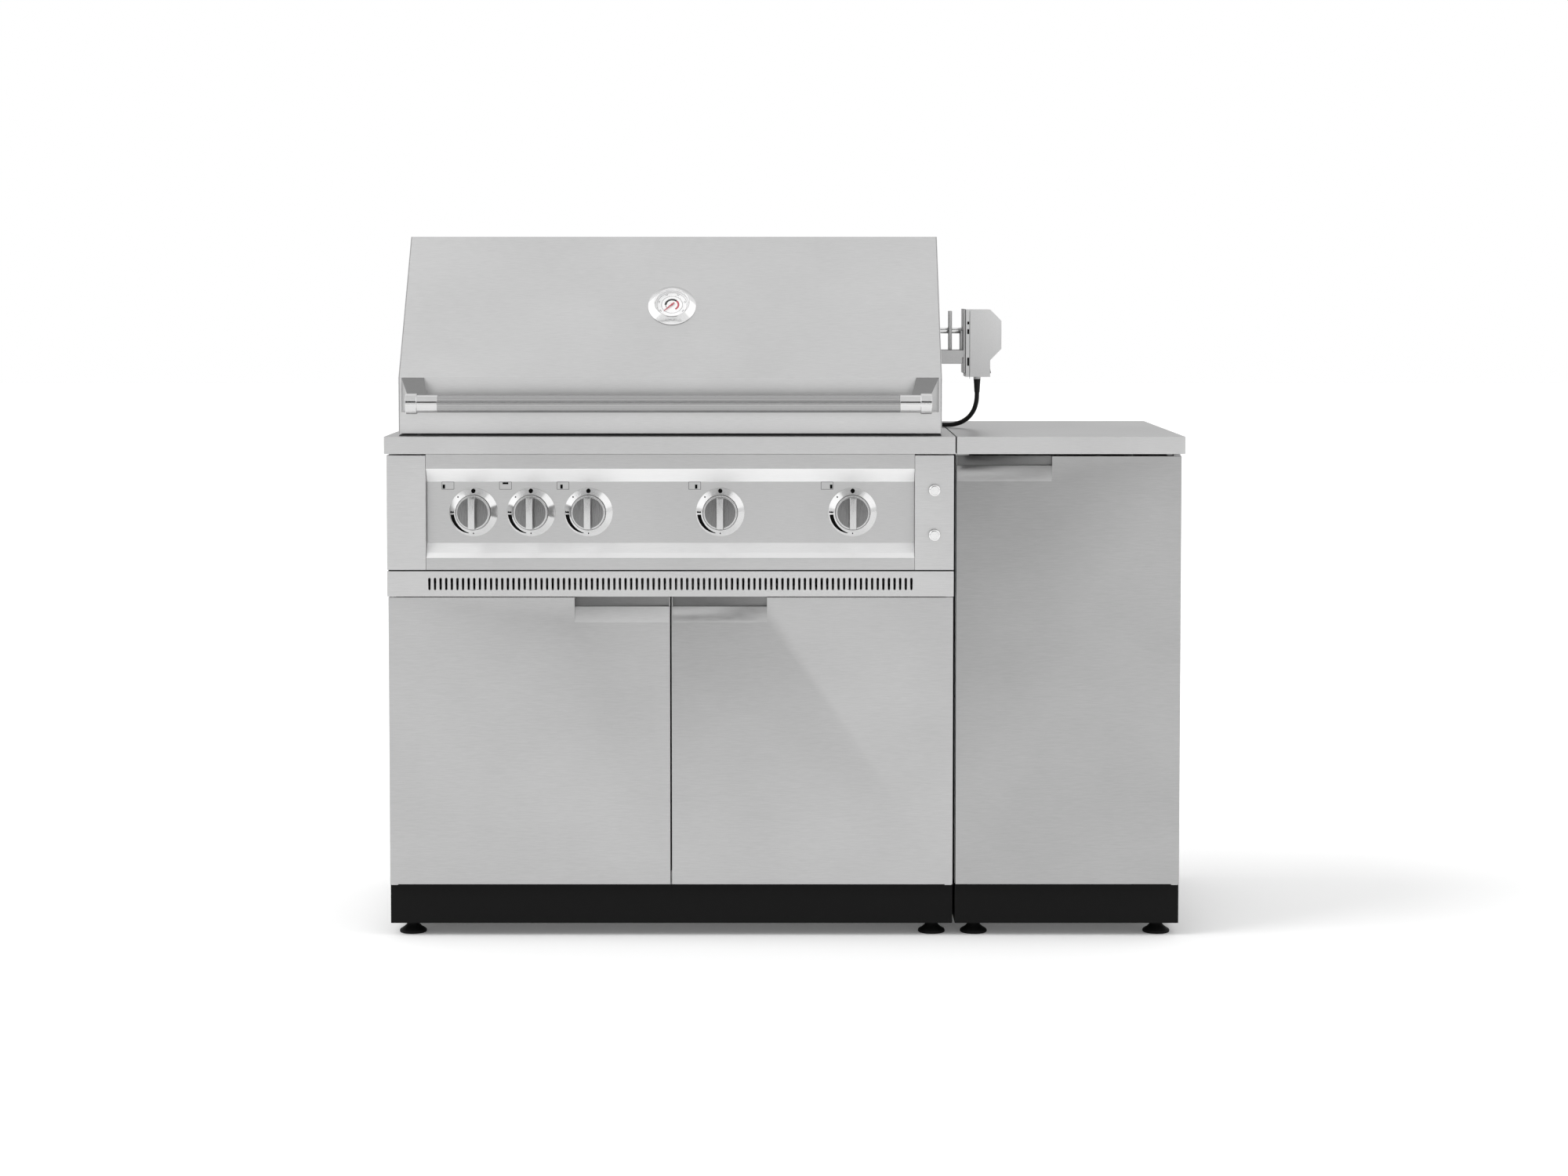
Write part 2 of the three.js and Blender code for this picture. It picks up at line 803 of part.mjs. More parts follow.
// Knob: a round body with a raised bar grip and the stem behind it, drawn facing up and then turned forward
function knob() {
  const top = knobStart + knobDisc;
  const body = turned([
    [0, knobStart],
    [knobRadius, knobStart],
    [knobRadius, top - knobRound],
    [knobRadius - knobRound, top],
    [0, top],
  ]);
  const reach = knobRadius - knobRound;
  const half = gripWidth / 2;
  const grip = prism(
    "x",
    [
      [-reach, top - overrun],
      [reach, top - overrun],
      [reach, top],
      [reach - gripTaper, top + gripHeight],
      [-reach + gripTaper, top + gripHeight],
      [-reach, top],
    ],
    -half,
    half,
  );
  const stem = bar("z", knobStemRadius, -sheet - seat - seat / 2, knobStart + overrun, [0, 0]);
  return join(body, grip, stem).rotateX(Math.PI / 2);
}

function gasManifold() {
  const front = faceDepth + sheet + seat;
  const pipeY = front + valveDepth;
  const pipe = bar("x", manifoldRadius, -manifoldHalfLength, manifoldHalfLength, [pipeY, knobHeight]);
  const valves = knobPlaces.map((x) =>
    cut(
      slab(
        x - valveHalfWidth,
        x + valveHalfWidth,
        front,
        pipeY,
        knobHeight - valveHalfHeight,
        knobHeight + valveHalfHeight,
      ),
      bar("y", knobStemRadius + stemHolePlay, front - overrun, front + overrun, [knobHeight, x]),
    ),
  );
  return join(pipe, ...valves);
}

function pushButton() {
  const profile = [
    [0, -buttonStemLength],
    [buttonStemRadius, -buttonStemLength],
    [buttonStemRadius, buttonTravel + seat],
    [buttonRadius, buttonTravel + seat],
    [buttonRadius, buttonTravel + buttonHeight],
    [buttonRadius - buttonDome, buttonTravel + buttonHeight + buttonDome],
    [0, buttonTravel + buttonHeight + buttonDome],
  ];
  return turned(profile, roundSides).rotateX(Math.PI / 2);
}

// One slot's outline in (z, x), with its round ends cut to points
function slotOutline(x, z) {
  const half = slotWidth / 2;
  const end = slotHeight / 2;
  return [
    [z - end, x],
    [z - end + half, x - half],
    [z + end - half, x - half],
    [z + end, x],
    [z + end - half, x + half],
    [z - end + half, x + half],
  ];
}

function ventPanel() {
  const middle = (ventTop + ventBottom) / 2;
  const count = Math.round(slotSpan / slotPitch);
  const slots = Array.from({ length: count + 1 }, (_, i) => {
    return slotOutline((i - count / 2) * slotPitch, middle);
  });
  const outline = [
    [ventBottom, -fasciaHalf],
    [ventTop, -fasciaHalf],
    [ventTop, fasciaHalf],
    [ventBottom, fasciaHalf],
  ];
  const face = prism("y", outline, fasciaFront, fasciaFront + sheet, slots);
  const folds = [ventBottom, ventTop - sheet].map((z) =>
    slab(-fasciaHalf, fasciaHalf, fasciaFront + sheet / 2, panelFront - seat, z, z + sheet),
  );
  const ends = [-fasciaHalf, fasciaHalf - sheet].map((x) =>
    slab(x, x + sheet, fasciaFront + sheet / 2, panelFront - seat, ventBottom, ventTop),
  );
  return join(face, ...folds, ...ends);
}

// The line from the hood's pivot down to the front, under which the fixed cheeks fill the sides
const cheekTopBack = [pivotDepth - pivotBoss - cheekGap, pivotHeight - pivotBoss];
const flangeTop = worktopHeight + seat + sheet;

function cheek() {
  const rise = cheekTopBack[1] - flangeTop;
  const outline = [
    [cheekFront, flangeTop - sheet],
    [cheekFront, flangeTop],
    [cheekTopBack[0], flangeTop + rise],
    [boxBack, flangeTop + rise - cheekGap],
    [boxBack, flangeTop - sheet],
  ];
  return prism("x", outline, hoodHalfWidth - sheet, hoodHalfWidth);
}

// Fire box: walls with a rim that rests on the worktop, ledges, a shroud, and ears with the hood's pivots
const boxMiddle = (boxFront + boxBack) / 2;

function fireBox() {
  const rimTop = flangeTop;
  const walls = cut(
    slab(-boxHalfWidth, boxHalfWidth, boxFront, boxBack, boxShoulder, rimTop),
    slab(
      -boxHalfWidth + boxWall,
      boxHalfWidth - boxWall,
      boxFront + boxWall,
      boxBack - boxWall,
      boxShoulder - overrun,
      rimTop + overrun,
    ),
  );
  const rim = cut(
    slab(-flangeSideReach, flangeSideReach, flangeFront, flangeBack, rimTop - sheet, rimTop),
    slab(
      -boxHalfWidth + boxWall / 2,
      boxHalfWidth - boxWall / 2,
      boxFront + boxWall / 2,
      boxBack - boxWall / 2,
      rimTop - sheet - overrun,
      rimTop + overrun,
    ),
  );
  const ledges = [];
  const ledgeHalf = boxHalfWidth - boxWall / 2;
  for (const z of [grateLedge, tamerLedge]) {
    for (const y of [boxFront + boxWall / 2, boxBack - boxWall / 2 - ledgeWidth]) {
      ledges.push(slab(-ledgeHalf, ledgeHalf, y, y + ledgeWidth, z - sheet, z));
    }
  }
  const shroudFront = boxBack - boxWall;
  const shroud = slab(-boxHalfWidth, boxHalfWidth, shroudFront, boxBack, rimTop - overrun, shroudTop);
  const wallBack = boxFront + boxWall + overrun;
  const burnerHoles = burnerPlaces.map((x) =>
    bar("y", burnerRadius + seat, boxFront - overrun, wallBack, [burnerHeight, x], fineSides),
  );
  const sides = [];
  for (const hand of [1, -1]) {
    const place = (geometry) => (hand > 0 ? geometry : mirrored(geometry));
    const earOutline = [
      [earFront, rimTop - overrun],
      [earFront, pivotHeight],
      [pivotDepth - pivotBoss / 2, earTop],
      [boxBack, earTop],
      [boxBack, rimTop - overrun],
    ];
    const ear = prism("x", earOutline, boxHalfWidth - boxWall, boxHalfWidth);
    const pivot = [pivotDepth, pivotHeight];
    const headStart = hoodHalfWidth + seat;
    const shankStart = boxHalfWidth - boxWall - overrun;
    const shank = bar("x", pivotRadius, shankStart, headStart + pivotHeadThick / 2, pivot);
    const head = bar("x", pivotHeadRadius, headStart, headStart + pivotHeadThick, pivot);
    const rimReach = slab(boxHalfWidth, hoodHalfWidth, cheekFront, boxBack, rimTop - sheet, rimTop);
    const bumper = bar("z", bumperRadius, rimTop - sheet / 2, hoodBottom - seat, [
      hoodHalfWidth - bumperInset,
      hoodFront + bumperRadius,
    ]);
    sides.push(...[ear, shank, head, rimReach, cheek(), bumper].map(place));
  }
  return cut(join(walls, rim, shroud, ...ledges, ...sides), ...burnerHoles);
}

// Grease funnel: the fire box's sloped bottom with its drain, and the drip tray's rails under it
function greaseFunnel() {
  const hopper = (shrink, lowest) => {
    const wide = {
      x: [-boxHalfWidth + shrink, boxHalfWidth - shrink],
      z: [boxFront + shrink, boxBack - shrink],
    };
    const narrow = {
      x: [-floorHalfWidth + shrink, floorHalfWidth - shrink],
      z: [boxMiddle - floorDepth / 2 + shrink, boxMiddle + floorDepth / 2 - shrink],
    };
    const arm = taperedArm({ ...wide, y: boxShoulder - seat }, { ...narrow, y: lowest });
    // The taper is drawn along y, so y and z change places here.
    return arm.applyMatrix4(new THREE.Matrix4().makeBasis(alongX.clone().negate(), alongZ, alongY));
  };
  const mouth = slab(
    -boxHalfWidth + boxWall,
    boxHalfWidth - boxWall,
    boxFront + boxWall,
    boxBack - boxWall,
    boxShoulder - 2 * seat,
    boxShoulder + overrun,
  );
  const drain = slab(
    -drainHalfWidth,
    drainHalfWidth,
    boxMiddle - drainDepth / 2,
    boxMiddle + drainDepth / 2,
    boxFloor - overrun,
    boxFloor + boxWall + overrun,
  );
  const pan = cut(hopper(0, boxFloor), hopper(boxWall, boxFloor + boxWall), mouth, drain);
  const start = boxMiddle - trayDepth / 2;
  const rails = [1, -1].map((hand) => {
    const line = [
      [hand * (trayHalfWidth + trayRim + seat), boxFloor + boxWall / 2],
      [hand * (trayHalfWidth + trayRim + seat), boxFloor - railDrop],
      [hand * (trayHalfWidth + trayRim + seat - railFold), boxFloor - railDrop],
    ];
    const points = folded(line, hand * sheet);
    return prism("y", points.map(([x, z]) => [z, x]), start, start + trayDepth);
  });
  return join(pan, ...rails);
}

// Burners: four straight tubes joined by the tube that carries the flame from one to the next
function burnerSet() {
  const pinEnd = boxBack - boxWall - seat;
  const tubes = burnerPlaces.map((x) => {
    const tube = bar("y", burnerRadius, burnerFront, burnerBack, [burnerHeight, x]);
    const pin = bar("y", burnerRadius / 2, burnerBack - overrun, pinEnd, [burnerHeight, x], rodSides);
    return join(tube, pin);
  });
  const carry = bar(
    "x",
    carryTubeRadius,
    burnerPlaces[0],
    burnerPlaces[burnerPlaces.length - 1],
    [burnerBack - carryTubeSetback, burnerHeight],
    rodSides,
  );
  return join(carry, ...tubes);
}

// Grate: round bars welded between two end bars
const grateHeight = grateLedge + seat + crossHeight / 2;

function grate() {
  const half = (grateStep - grateGap) / 2;
  const front = boxFront + boxWall + seat;
  const back = boxBack - boxWall - seat;
  const count = Math.floor((2 * (half - rodRadius)) / rodPitch);
  const spread = count * rodPitch;
  const sunk = crossWidth / 2;
  const rods = Array.from({ length: count + 1 }, (_, i) =>
    bar("y", rodRadius, front + sunk, back - sunk, [grateHeight, i * rodPitch - spread / 2], rodSides),
  );
  const crosses = [front, back - crossWidth].map((y) =>
    slab(-half, half, y, y + crossWidth, grateLedge + seat, grateLedge + seat + crossHeight),
  );
  return join(...crosses, ...rods);
}

// Flame tamer: a ridged roof over each burner, with a row of slots on each slope
function flameTamer() {
  const half = tamerWidth / 2;
  const bottom = tamerLedge + seat;
  const front = boxFront + boxWall + seat;
  const back = boxBack - boxWall - seat;
  const line = [
    [bottom, -half],
    [bottom + tamerRise, 0],
    [bottom, half],
  ];
  const roof = prism("y", folded(line, -sheet), front, back);
  const pitch = (back - front) / tamerSlots;
  const slots = [];
  for (let i = 0; i < tamerSlots; i += 1) {
    const y = front + (i + 0.5) * pitch;
    for (const x of [-half / 2, half / 2]) {
      slots.push(
        slab(
          x - tamerSlotWidth / 2,
          x + tamerSlotWidth / 2,
          y - tamerSlotLength / 2,
          y + tamerSlotLength / 2,
          bottom,
          bottom + tamerRise + sheet,
        ),
      );
    }
  }
  return cut(roof, ...slots);
}

function rearBurner() {
  const back = boxBack - boxWall - seat;
  const front = back - rearBurnerDepth;
  const top = rearBurnerBottom + rearBurnerHeight;
  const width = 2 * (rearBurnerHalfWidth - rearBurnerRim);
  const pitch = width / (rearBurnerBars + 1);
  const openings = Array.from({ length: rearBurnerBars + 1 }, (_, i) => {
    const x = -rearBurnerHalfWidth + rearBurnerRim + i * pitch;
    return slab(
      x + rearBurnerBar / 2,
      x + pitch - rearBurnerBar / 2,
      front - overrun,
      back - rearBurnerRim,
      rearBurnerBottom + rearBurnerRim,
      top - rearBurnerRim,
    );
  });
  const body = slab(-rearBurnerHalfWidth, rearBurnerHalfWidth, front, back, rearBurnerBottom, top);
  return cut(body, ...openings);
}

function dripTray() {
  const front = boxMiddle - trayDepth / 2;
  const back = boxMiddle + trayDepth / 2;
  const rimBottom = boxFloor - railDrop + seat;
  const rimReach = trayHalfWidth + trayRim;
  const rim = slab(-rimReach, rimReach, front, back, rimBottom, rimBottom + sheet);
  const pan = slab(
    -trayHalfWidth,
    trayHalfWidth,
    front + trayRim,
    back - trayRim,
    rimBottom + sheet - trayHeight,
    rimBottom + sheet / 2,
  );
  const hollow = slab(
    -trayHalfWidth + sheet,
    trayHalfWidth - sheet,
    front + trayRim + sheet,
    back - trayRim - sheet,
    rimBottom + 2 * sheet - trayHeight,
    rimBottom + sheet + overrun,
  );
  return cut(join(rim, pan), hollow);
}

// Hood: a folded skin, two side panels and the handle
const hoodLine = [
  [hoodFront, hoodBottom],
  [hoodFront, hoodLipHeight],
  [hoodTopFront, hoodTop],
  [hoodTopBack, hoodTop],
  [hoodBack, hoodBackHeight],
];
const slopeRun = hoodTopFront - hoodFront;
const slopeRise = hoodTop - hoodLipHeight;
const slopeAngle = Math.atan2(slopeRise, slopeRun);
const gaugeDepth = (hoodFront + hoodTopFront) / 2;
const gaugePlaceHeight = (hoodLipHeight + hoodTop) / 2;

// A thermometer group's frame: its z axis stands out of the slope
const gaugeTurn = new THREE.Matrix4().makeRotationX(slopeAngle);

function hoodSkin() {
  const half = hoodHalfWidth - sheet - seat;
  const line = [
    [hoodFront + hoodFold, hoodBottom],
    ...hoodLine,
    [hoodBack, hoodBackHeight - hoodFold],
  ];
  const skin = prism("x", folded(line, -sheet), -half, half);
  const hole = new THREE.CylinderGeometry(
    probeRadius + seat,
    probeRadius + seat,
    2 * hoodFold,
    roundSides,
  )
    .rotateX(Math.PI / 2)
    .applyMatrix4(gaugeTurn)
    .translate(0, gaugeDepth, gaugePlaceHeight);
  return cut(skin, hole);
}

function hoodSide(hand) {
  const outline = [
    [hoodFront, hoodBottom],
    [hoodFront, hoodLipHeight],
    [hoodTopFront, hoodTop],
    [hoodTopBack, hoodTop],
    [hoodBack, hoodBackHeight],
    [hoodBack, pivotHeight + pivotBoss / 2],
    [pivotDepth + pivotBoss / 2, pivotHeight - pivotBoss + cheekGap],
    [pivotDepth - pivotBoss, pivotHeight - pivotBoss + cheekGap],
    [cheekTopBack[0], cheekTopBack[1] + cheekGap],
    [cheekFront + cheekGap, hoodBottom + cheekGap],
    [cheekFront - cheekGap, hoodBottom],
  ];
  const plate = prism("x", outline, hoodHalfWidth - sheet, hoodHalfWidth);
  const fold = slab(
    hoodHalfWidth - sheet - sideFold,
    hoodHalfWidth - sheet / 2,
    hoodFront + sheet + seat,
    hoodFront + 2 * sheet + seat,
    hoodBottom + sheet + seat,
    hoodLipHeight - sideFold,
  );
  const pivotHole = bar(
    "x",
    pivotRadius + seat,
    hoodHalfWidth - sheet - overrun,
    hoodHalfWidth + overrun,
    [pivotDepth, pivotHeight],
  );
  // The notch follows the spit's path as the hood turns about its pivot.
  const reach = Math.hypot(pivotDepth - spitDepth, spitHeight - pivotHeight);
  const start = Math.atan2(spitHeight - pivotHeight, spitDepth - pivotDepth);
  const half = spitRadius + spitSlotPlay;
  const turns = 10;
  const sweep = Math.asin((pivotHeight - hoodBottom + half) / reach) + (Math.PI - start);
  const arc = (radius) =>
    Array.from({ length: turns + 1 }, (_, i) => {
      const angle = start - half / reach + (i / turns) * (sweep + (2 * half) / reach);
      return [pivotDepth + radius * Math.cos(angle), pivotHeight + radius * Math.sin(angle)];
    });
  const band = [...arc(reach + half), ...arc(reach - half).reverse()];
  const notch = prism("x", band, hoodHalfWidth - sheet - sideFold - overrun, hoodHalfWidth + overrun);
  const side = cut(join(plate, fold), pivotHole, notch);
  return hand > 0 ? side : mirrored(side);
}

function handleBracket(hand) {
  const middle = hoodFront - handleReach;
  const arm = taperedArm(
    {
      x: [bracketRootInner, bracketRootOuter],
      y: hoodFront - seat,
      z: [bracketRootBottom, bracketRootTop],
    },
    { x: [capInner, capOuter], y: middle, z: [handleHeight - capRadius / 2, handleHeight + capRadius / 2] },
  );
  const cap = bar("x", capRadius, capInner, capOuter, [middle, handleHeight], fineSides);
  const axis = [middle, handleHeight];
  const bore = bar("x", handleRadius + seat, capInner - overrun, capInner + capBore, axis, fineSides);
  const bracket = cut(join(arm, cap), bore);
  return hand > 0 ? bracket : mirrored(bracket);
}

function handleTube() {
  const end = capInner + capBore - seat;
  return bar("x", handleRadius, -end, end, [hoodFront - handleReach, handleHeight], fineSides);
}

// Thermometer pieces, drawn facing up from the slope
function gaugeBezel() {
  const ring = turned([
    [0, seat],
    [gaugeRadius, seat],
    [gaugeRadius, seat + gaugeFloor / 2],
    [gaugeWindow + glassLedge, gaugeHeight],
    [gaugeWindow, gaugeHeight],
    [gaugeWindow, gaugeFloor],
    [0, gaugeFloor],
  ]);
  const probe = bar("z", probeRadius, -probeLength, gaugeFloor / 2, [0, 0], roundSides);
  return join(ring, probe);
}

function needle() {
  const low = gaugeFloor + seat + dialThick + needleLift;
  const high = low + needleThick;
  const pointer = prism(
    "z",
    [
      [-needleHalfWidth * 2, -needleTail],
      [needleHalfWidth * 2, -needleTail],
      [needleHalfWidth / 2, needleLength],
      [-needleHalfWidth / 2, needleLength],
    ],
    low,
    high,
  );
  const hubFoot = gaugeFloor + 2 * seat + dialThick;
  return join(pointer, bar("z", needleHub, hubFoot, high + needleThick / 2, [0, 0]));
}

// Rotisserie bracket: a plate on the right cheek, a shelf arm, an upright with the spit's bearing,
// and a motor plate
function spitBracket() {
  const inner = hoodHalfWidth + seat;
  const back = spitDepth + bracketHalfDepth;
  const front = spitDepth - bracketHalfDepth;
  const motorOuter = motorPlateInner + motorPlateThick;
  const plate = slab(inner, inner + bracketPlate, front, back, bracketFoot, shelfArmTop);
  const shelfArm = slab(inner, motorOuter - overrun, front, back, shelfArmBottom, shelfArmTop);
  const hollow = slab(
    inner + bracketPlate,
    uprightPlace,
    front + bracketPlate,
    back - bracketPlate,
    shelfArmBottom - overrun,
    shelfArmTop - bracketPlate,
  );
  const skirt = slab(inner, shelfArmEnd, front, front + bracketPlate, shelfFlangeBottom, shelfArmTop);
  const upright = slab(
    uprightPlace,
    uprightPlace + uprightThick,
    spitDepth - uprightHalfDepth,
    spitDepth + uprightHalfDepth,
    shelfArmTop - overrun,
    uprightTop,
  );
  const motorPlate = slab(motorPlateInner, motorOuter, front, back, motorPlateBottom, motorPlateTop);
  const tab = slab(
    motorPlateInner - tabThick,
    motorPlateInner + overrun,
    spitDepth - uprightHalfDepth,
    spitDepth + uprightHalfDepth,
    shelfArmTop - overrun,
    spitHeight,
  );
  const bearing = bar("x", uprightHole, uprightPlace - overrun, motorOuter + overrun, [
    spitDepth,
    spitHeight,
  ]);
  return cut(join(plate, shelfArm, skirt, upright, tab, motorPlate), hollow, bearing);
}

const motorInner = motorPlateInner + motorPlateThick + seat;

function motorHousing() {
  const outline = [
    [motorBottom, motorInner],
    [motorTop, motorInner],
    [motorTop, motorShoulder],
    [motorNoseTop, motorNose],
    [motorNoseBottom, motorNose],
    [motorWaist, motorShoulder],
    [motorBottom, motorShoulder],
  ];
  const body = prism("y", outline, spitDepth - motorHalfDepth, spitDepth + motorHalfDepth);
  const socket = bar("x", spitRadius + socketPlay, motorInner - overrun, motorInner + socketDepth, [
    spitDepth,
    spitHeight,
  ]);
  const switchMiddle = motorWaist - switchDrop;
  const window = slab(
    motorShoulder - switchSunk,
    motorShoulder + overrun,
    spitDepth - switchHalfDepth,
    spitDepth + switchHalfDepth,
    switchMiddle - switchHalfHeight,
    switchMiddle + switchHalfHeight,
  );
  const gland = bar("z", glandRadius, motorBottom - glandHeight, motorBottom + overrun, [
    glandPlace,
    spitDepth,
  ]);
  return join(cut(body, socket, window), gland);
}

// Rocker: its pivot lies along y behind the middle of its face
function rocker() {
  const middle = motorWaist - switchDrop;
  const half = switchHalfHeight - 3 * seat;
  const inner = motorShoulder - switchSunk / 2;
  const outline = [
    [middle - half, motorShoulder - seat],
    [middle - half, motorShoulder + switchProud],
    [middle, motorShoulder + switchProud / 2],
    [middle + half, motorShoulder + switchProud / 3],
    [middle + half, motorShoulder - seat],
    [middle, inner],
  ].reverse();
  return prism("y", outline, spitDepth - switchHalfDepth + seat, spitDepth + switchHalfDepth - seat);
}

// Spit: the square-ended rod with two forks clamped on it
function spit() {
  const right = motorInner + socketDepth - seat;
  const rod = bar("x", spitRadius, -spitLeftEnd, right, [spitDepth, spitHeight], rodSides);
  const forks = [];
  for (const hand of [1, -1]) {
    const x = hand * forkPlace;
    const hubReach = forkHubLength / 2;
    const hub = bar("x", forkHub, x - hubReach, x + hubReach, [spitDepth, spitHeight], rodSides);
    const cross = slab(
      x - forkTine,
      x + forkTine,
      spitDepth - forkTine,
      spitDepth + forkTine,
      spitHeight - forkReach,
      spitHeight + forkReach,
    );
    const tip = x - hand * forkLength;
    const tines = [-forkReach + forkTine, forkReach - forkTine].map((z) =>
      bar("x", forkTine, Math.min(x, tip), Math.max(x, tip), [spitDepth, spitHeight + z], rodSides),
    );
    forks.push(hub, cross, ...tines);
  }
  return join(rod, ...forks);
}

// Cord: a round section carried along the route, and the plug on its end
function cord() {
  const curve = new THREE.CatmullRomCurve3(cordRoute.map((point) => new THREE.Vector3(...point)));
  curve.arcLengthDivisions = 2000;
  const turn = (2 * Math.PI) / cordSides;
  const ring = Array.from(
    { length: cordSides },
    (_, i) => new THREE.Vector2(cordRadius * Math.cos(i * turn), cordRadius * Math.sin(i * turn)),
  );
  return new THREE.ExtrudeGeometry(new THREE.Shape(ring), {
    steps: cordSteps,
    extrudePath: curve,
    bevelEnabled: false,
  });
}

function plug() {
  const [x, y, z] = cordRoute[cordRoute.length - 1];
  const start = x - seat;
  const middle = Math.max(z, plugHalfHeight + seat);
  const neckEnd = start - plugNeckLength;
  const end = neckEnd - plugLength;
  const neck = taperedArm(
    { x: [-plugNeck / 2, plugNeck / 2], y: plugNeckLength + overrun, z: [-plugNeck / 2, plugNeck / 2] },
    { x: [-plugNeck / 3, plugNeck / 3], y: 0, z: [-plugNeck / 3, plugNeck / 3] },
  )
    .rotateZ(Math.PI / 2)
    .translate(start, y, middle - (middle - z) / 2);
  const body = slab(
    end,
    neckEnd,
    y - plugHalfWidth,
    y + plugHalfWidth,
    middle - plugHalfHeight,
    middle + plugHalfHeight,
  );
  const blades = [-bladeSpread, bladeSpread].map((dy) =>
    slab(
      end - bladeLength,
      end + overrun,
      y + dy - bladeThick / 2,
      y + dy + bladeThick / 2,
      middle - bladeHalfHeight,
      middle + bladeHalfHeight,
    ),
  );
  return join(body, neck, ...blades);
}

// Assembly
const island = new THREE.Group();
const frontY = -(worktopDepth - (handleReach + capRadius - hoodFront)) / 2;
const leftEdge = -(grillWidth + unitGap + sideWidth) / 2;

const grillUnit = new THREE.Group();
grillUnit.position.set(leftEdge + grillWidth / 2, frontY, 0);
island.add(grillUnit);

const sideUnit = new THREE.Group();
sideUnit.position.set(-leftEdge - sideWidth / 2, frontY, 0);
island.add(sideUnit);

const grillWorktop = cut(
  worktop(grillWidth),
  slab(
    -cutoutHalfWidth,
    cutoutHalfWidth,
    cutoutFront,
    cutoutBack,
    worktopHeight - worktopEdge - overrun,
    worktopHeight + overrun,
  ),
);
piece(grillUnit, "grill_worktop", grillWorktop, brushed);
piece(grillUnit, "grill_base", base(grillWidth), blackPaint);
piece(grillUnit, "grill_side_left", sidePanel(grillWidth, -1, grillDoorTop), brushed);
piece(grillUnit, "grill_side_right", sidePanel(grillWidth, 1, grillDoorTop), brushed);
piece(grillUnit, "grill_back", backPanel(grillWidth, true), brushed);
piece(grillUnit, "grill_floor", floorPanel(grillWidth), brushed);
piece(grillUnit, "left_stile", stile(-1), brushed);
piece(grillUnit, "right_stile", stile(1), brushed);
piece(grillUnit, "vent_panel", ventPanel(), brushed);
piece(grillUnit, "control_panel", controlPanel(), brushed);
piece(grillUnit, "gas_manifold", gasManifold(), castGrey);

const doorInner = doorGap / 2;
const doorOuter = grillWidth / 2 - doorSideInset;
piece(grillUnit, "left_door", doorPan(doorInner, doorOuter, grillDoorTop, -1), brushed);
piece(grillUnit, "left_door_liner", doorLiner(doorInner, doorOuter, grillDoorTop, -1), brushed);
piece(grillUnit, "right_door", doorPan(doorInner, doorOuter, grillDoorTop, 1), brushed);
piece(grillUnit, "right_door_liner", doorLiner(doorInner, doorOuter, grillDoorTop, 1), brushed);

knobPlaces.forEach((x, i) => {
  const mesh = piece(grillUnit, `knob_${i + 1}`, knob(), polished);
  mesh.position.set(x, faceDepth, knobHeight);
});
["upper_button", "lower_button"].forEach((name, i) => {
  const mesh = piece(grillUnit, name, pushButton(), polished);
  mesh.position.set(buttonX, fasciaFront, buttonHeights[i]);
});

piece(grillUnit, "fire_box", fireBox(), brushed);
piece(grillUnit, "grease_funnel", greaseFunnel(), brushed);
piece(grillUnit, "burners", burnerSet(), brushed);
burnerPlaces.forEach((x, i) => {
  const mesh = piece(grillUnit, `flame_tamer_${i + 1}`, flameTamer(), brushed);
  mesh.position.x = x;
});
for (let i = 0; i < grateCount; i += 1) {
  const mesh = piece(grillUnit, `grate_${i + 1}`, grate(), polished);
  mesh.position.x = (i - (grateCount - 1) / 2) * grateStep;
}
piece(grillUnit, "rear_burner", rearBurner(), castGrey);
piece(grillUnit, "drip_tray", dripTray(), brushed);

piece(grillUnit, "hood_skin", hoodSkin(), brushed);
piece(grillUnit, "hood_side_left", hoodSide(-1), brushed);
piece(grillUnit, "hood_side_right", hoodSide(1), brushed);
piece(grillUnit, "handle_bracket_left", handleBracket(-1), polished);
piece(grillUnit, "handle_bracket_right", handleBracket(1), polished);
piece(grillUnit, "handle_tube", handleTube(), brushed);

const gauge = new THREE.Group();
gauge.position.set(0, gaugeDepth, gaugePlaceHeight);
gauge.setRotationFromMatrix(gaugeTurn);
grillUnit.add(gauge);
piece(gauge, "gauge_bezel", gaugeBezel(), polished);
const dialRadius = gaugeWindow - seat;
const dialTop = gaugeFloor + seat + dialThick;
piece(gauge, "gauge_dial", disc(dialRadius, gaugeFloor + seat, dialTop), dialWhite);
const pointer = piece(gauge, "gauge_needle", needle(), needleRed);
pointer.rotation.z = needleRestShare * -2 * Math.PI;
const glassTop = gaugeHeight - seat;
piece(gauge, "gauge_glass", disc(dialRadius, glassTop - glassThick, glassTop), clearGlass);

piece(grillUnit, "rotisserie_bracket", spitBracket(), castGrey);
piece(grillUnit, "rotisserie_motor", motorHousing(), castGrey);
piece(grillUnit, "motor_switch", rocker(), blackRubber);
piece(grillUnit, "spit", spit(), polished);
piece(grillUnit, "motor_cord", cord(), blackRubber);
piece(grillUnit, "plug", plug(), blackRubber);

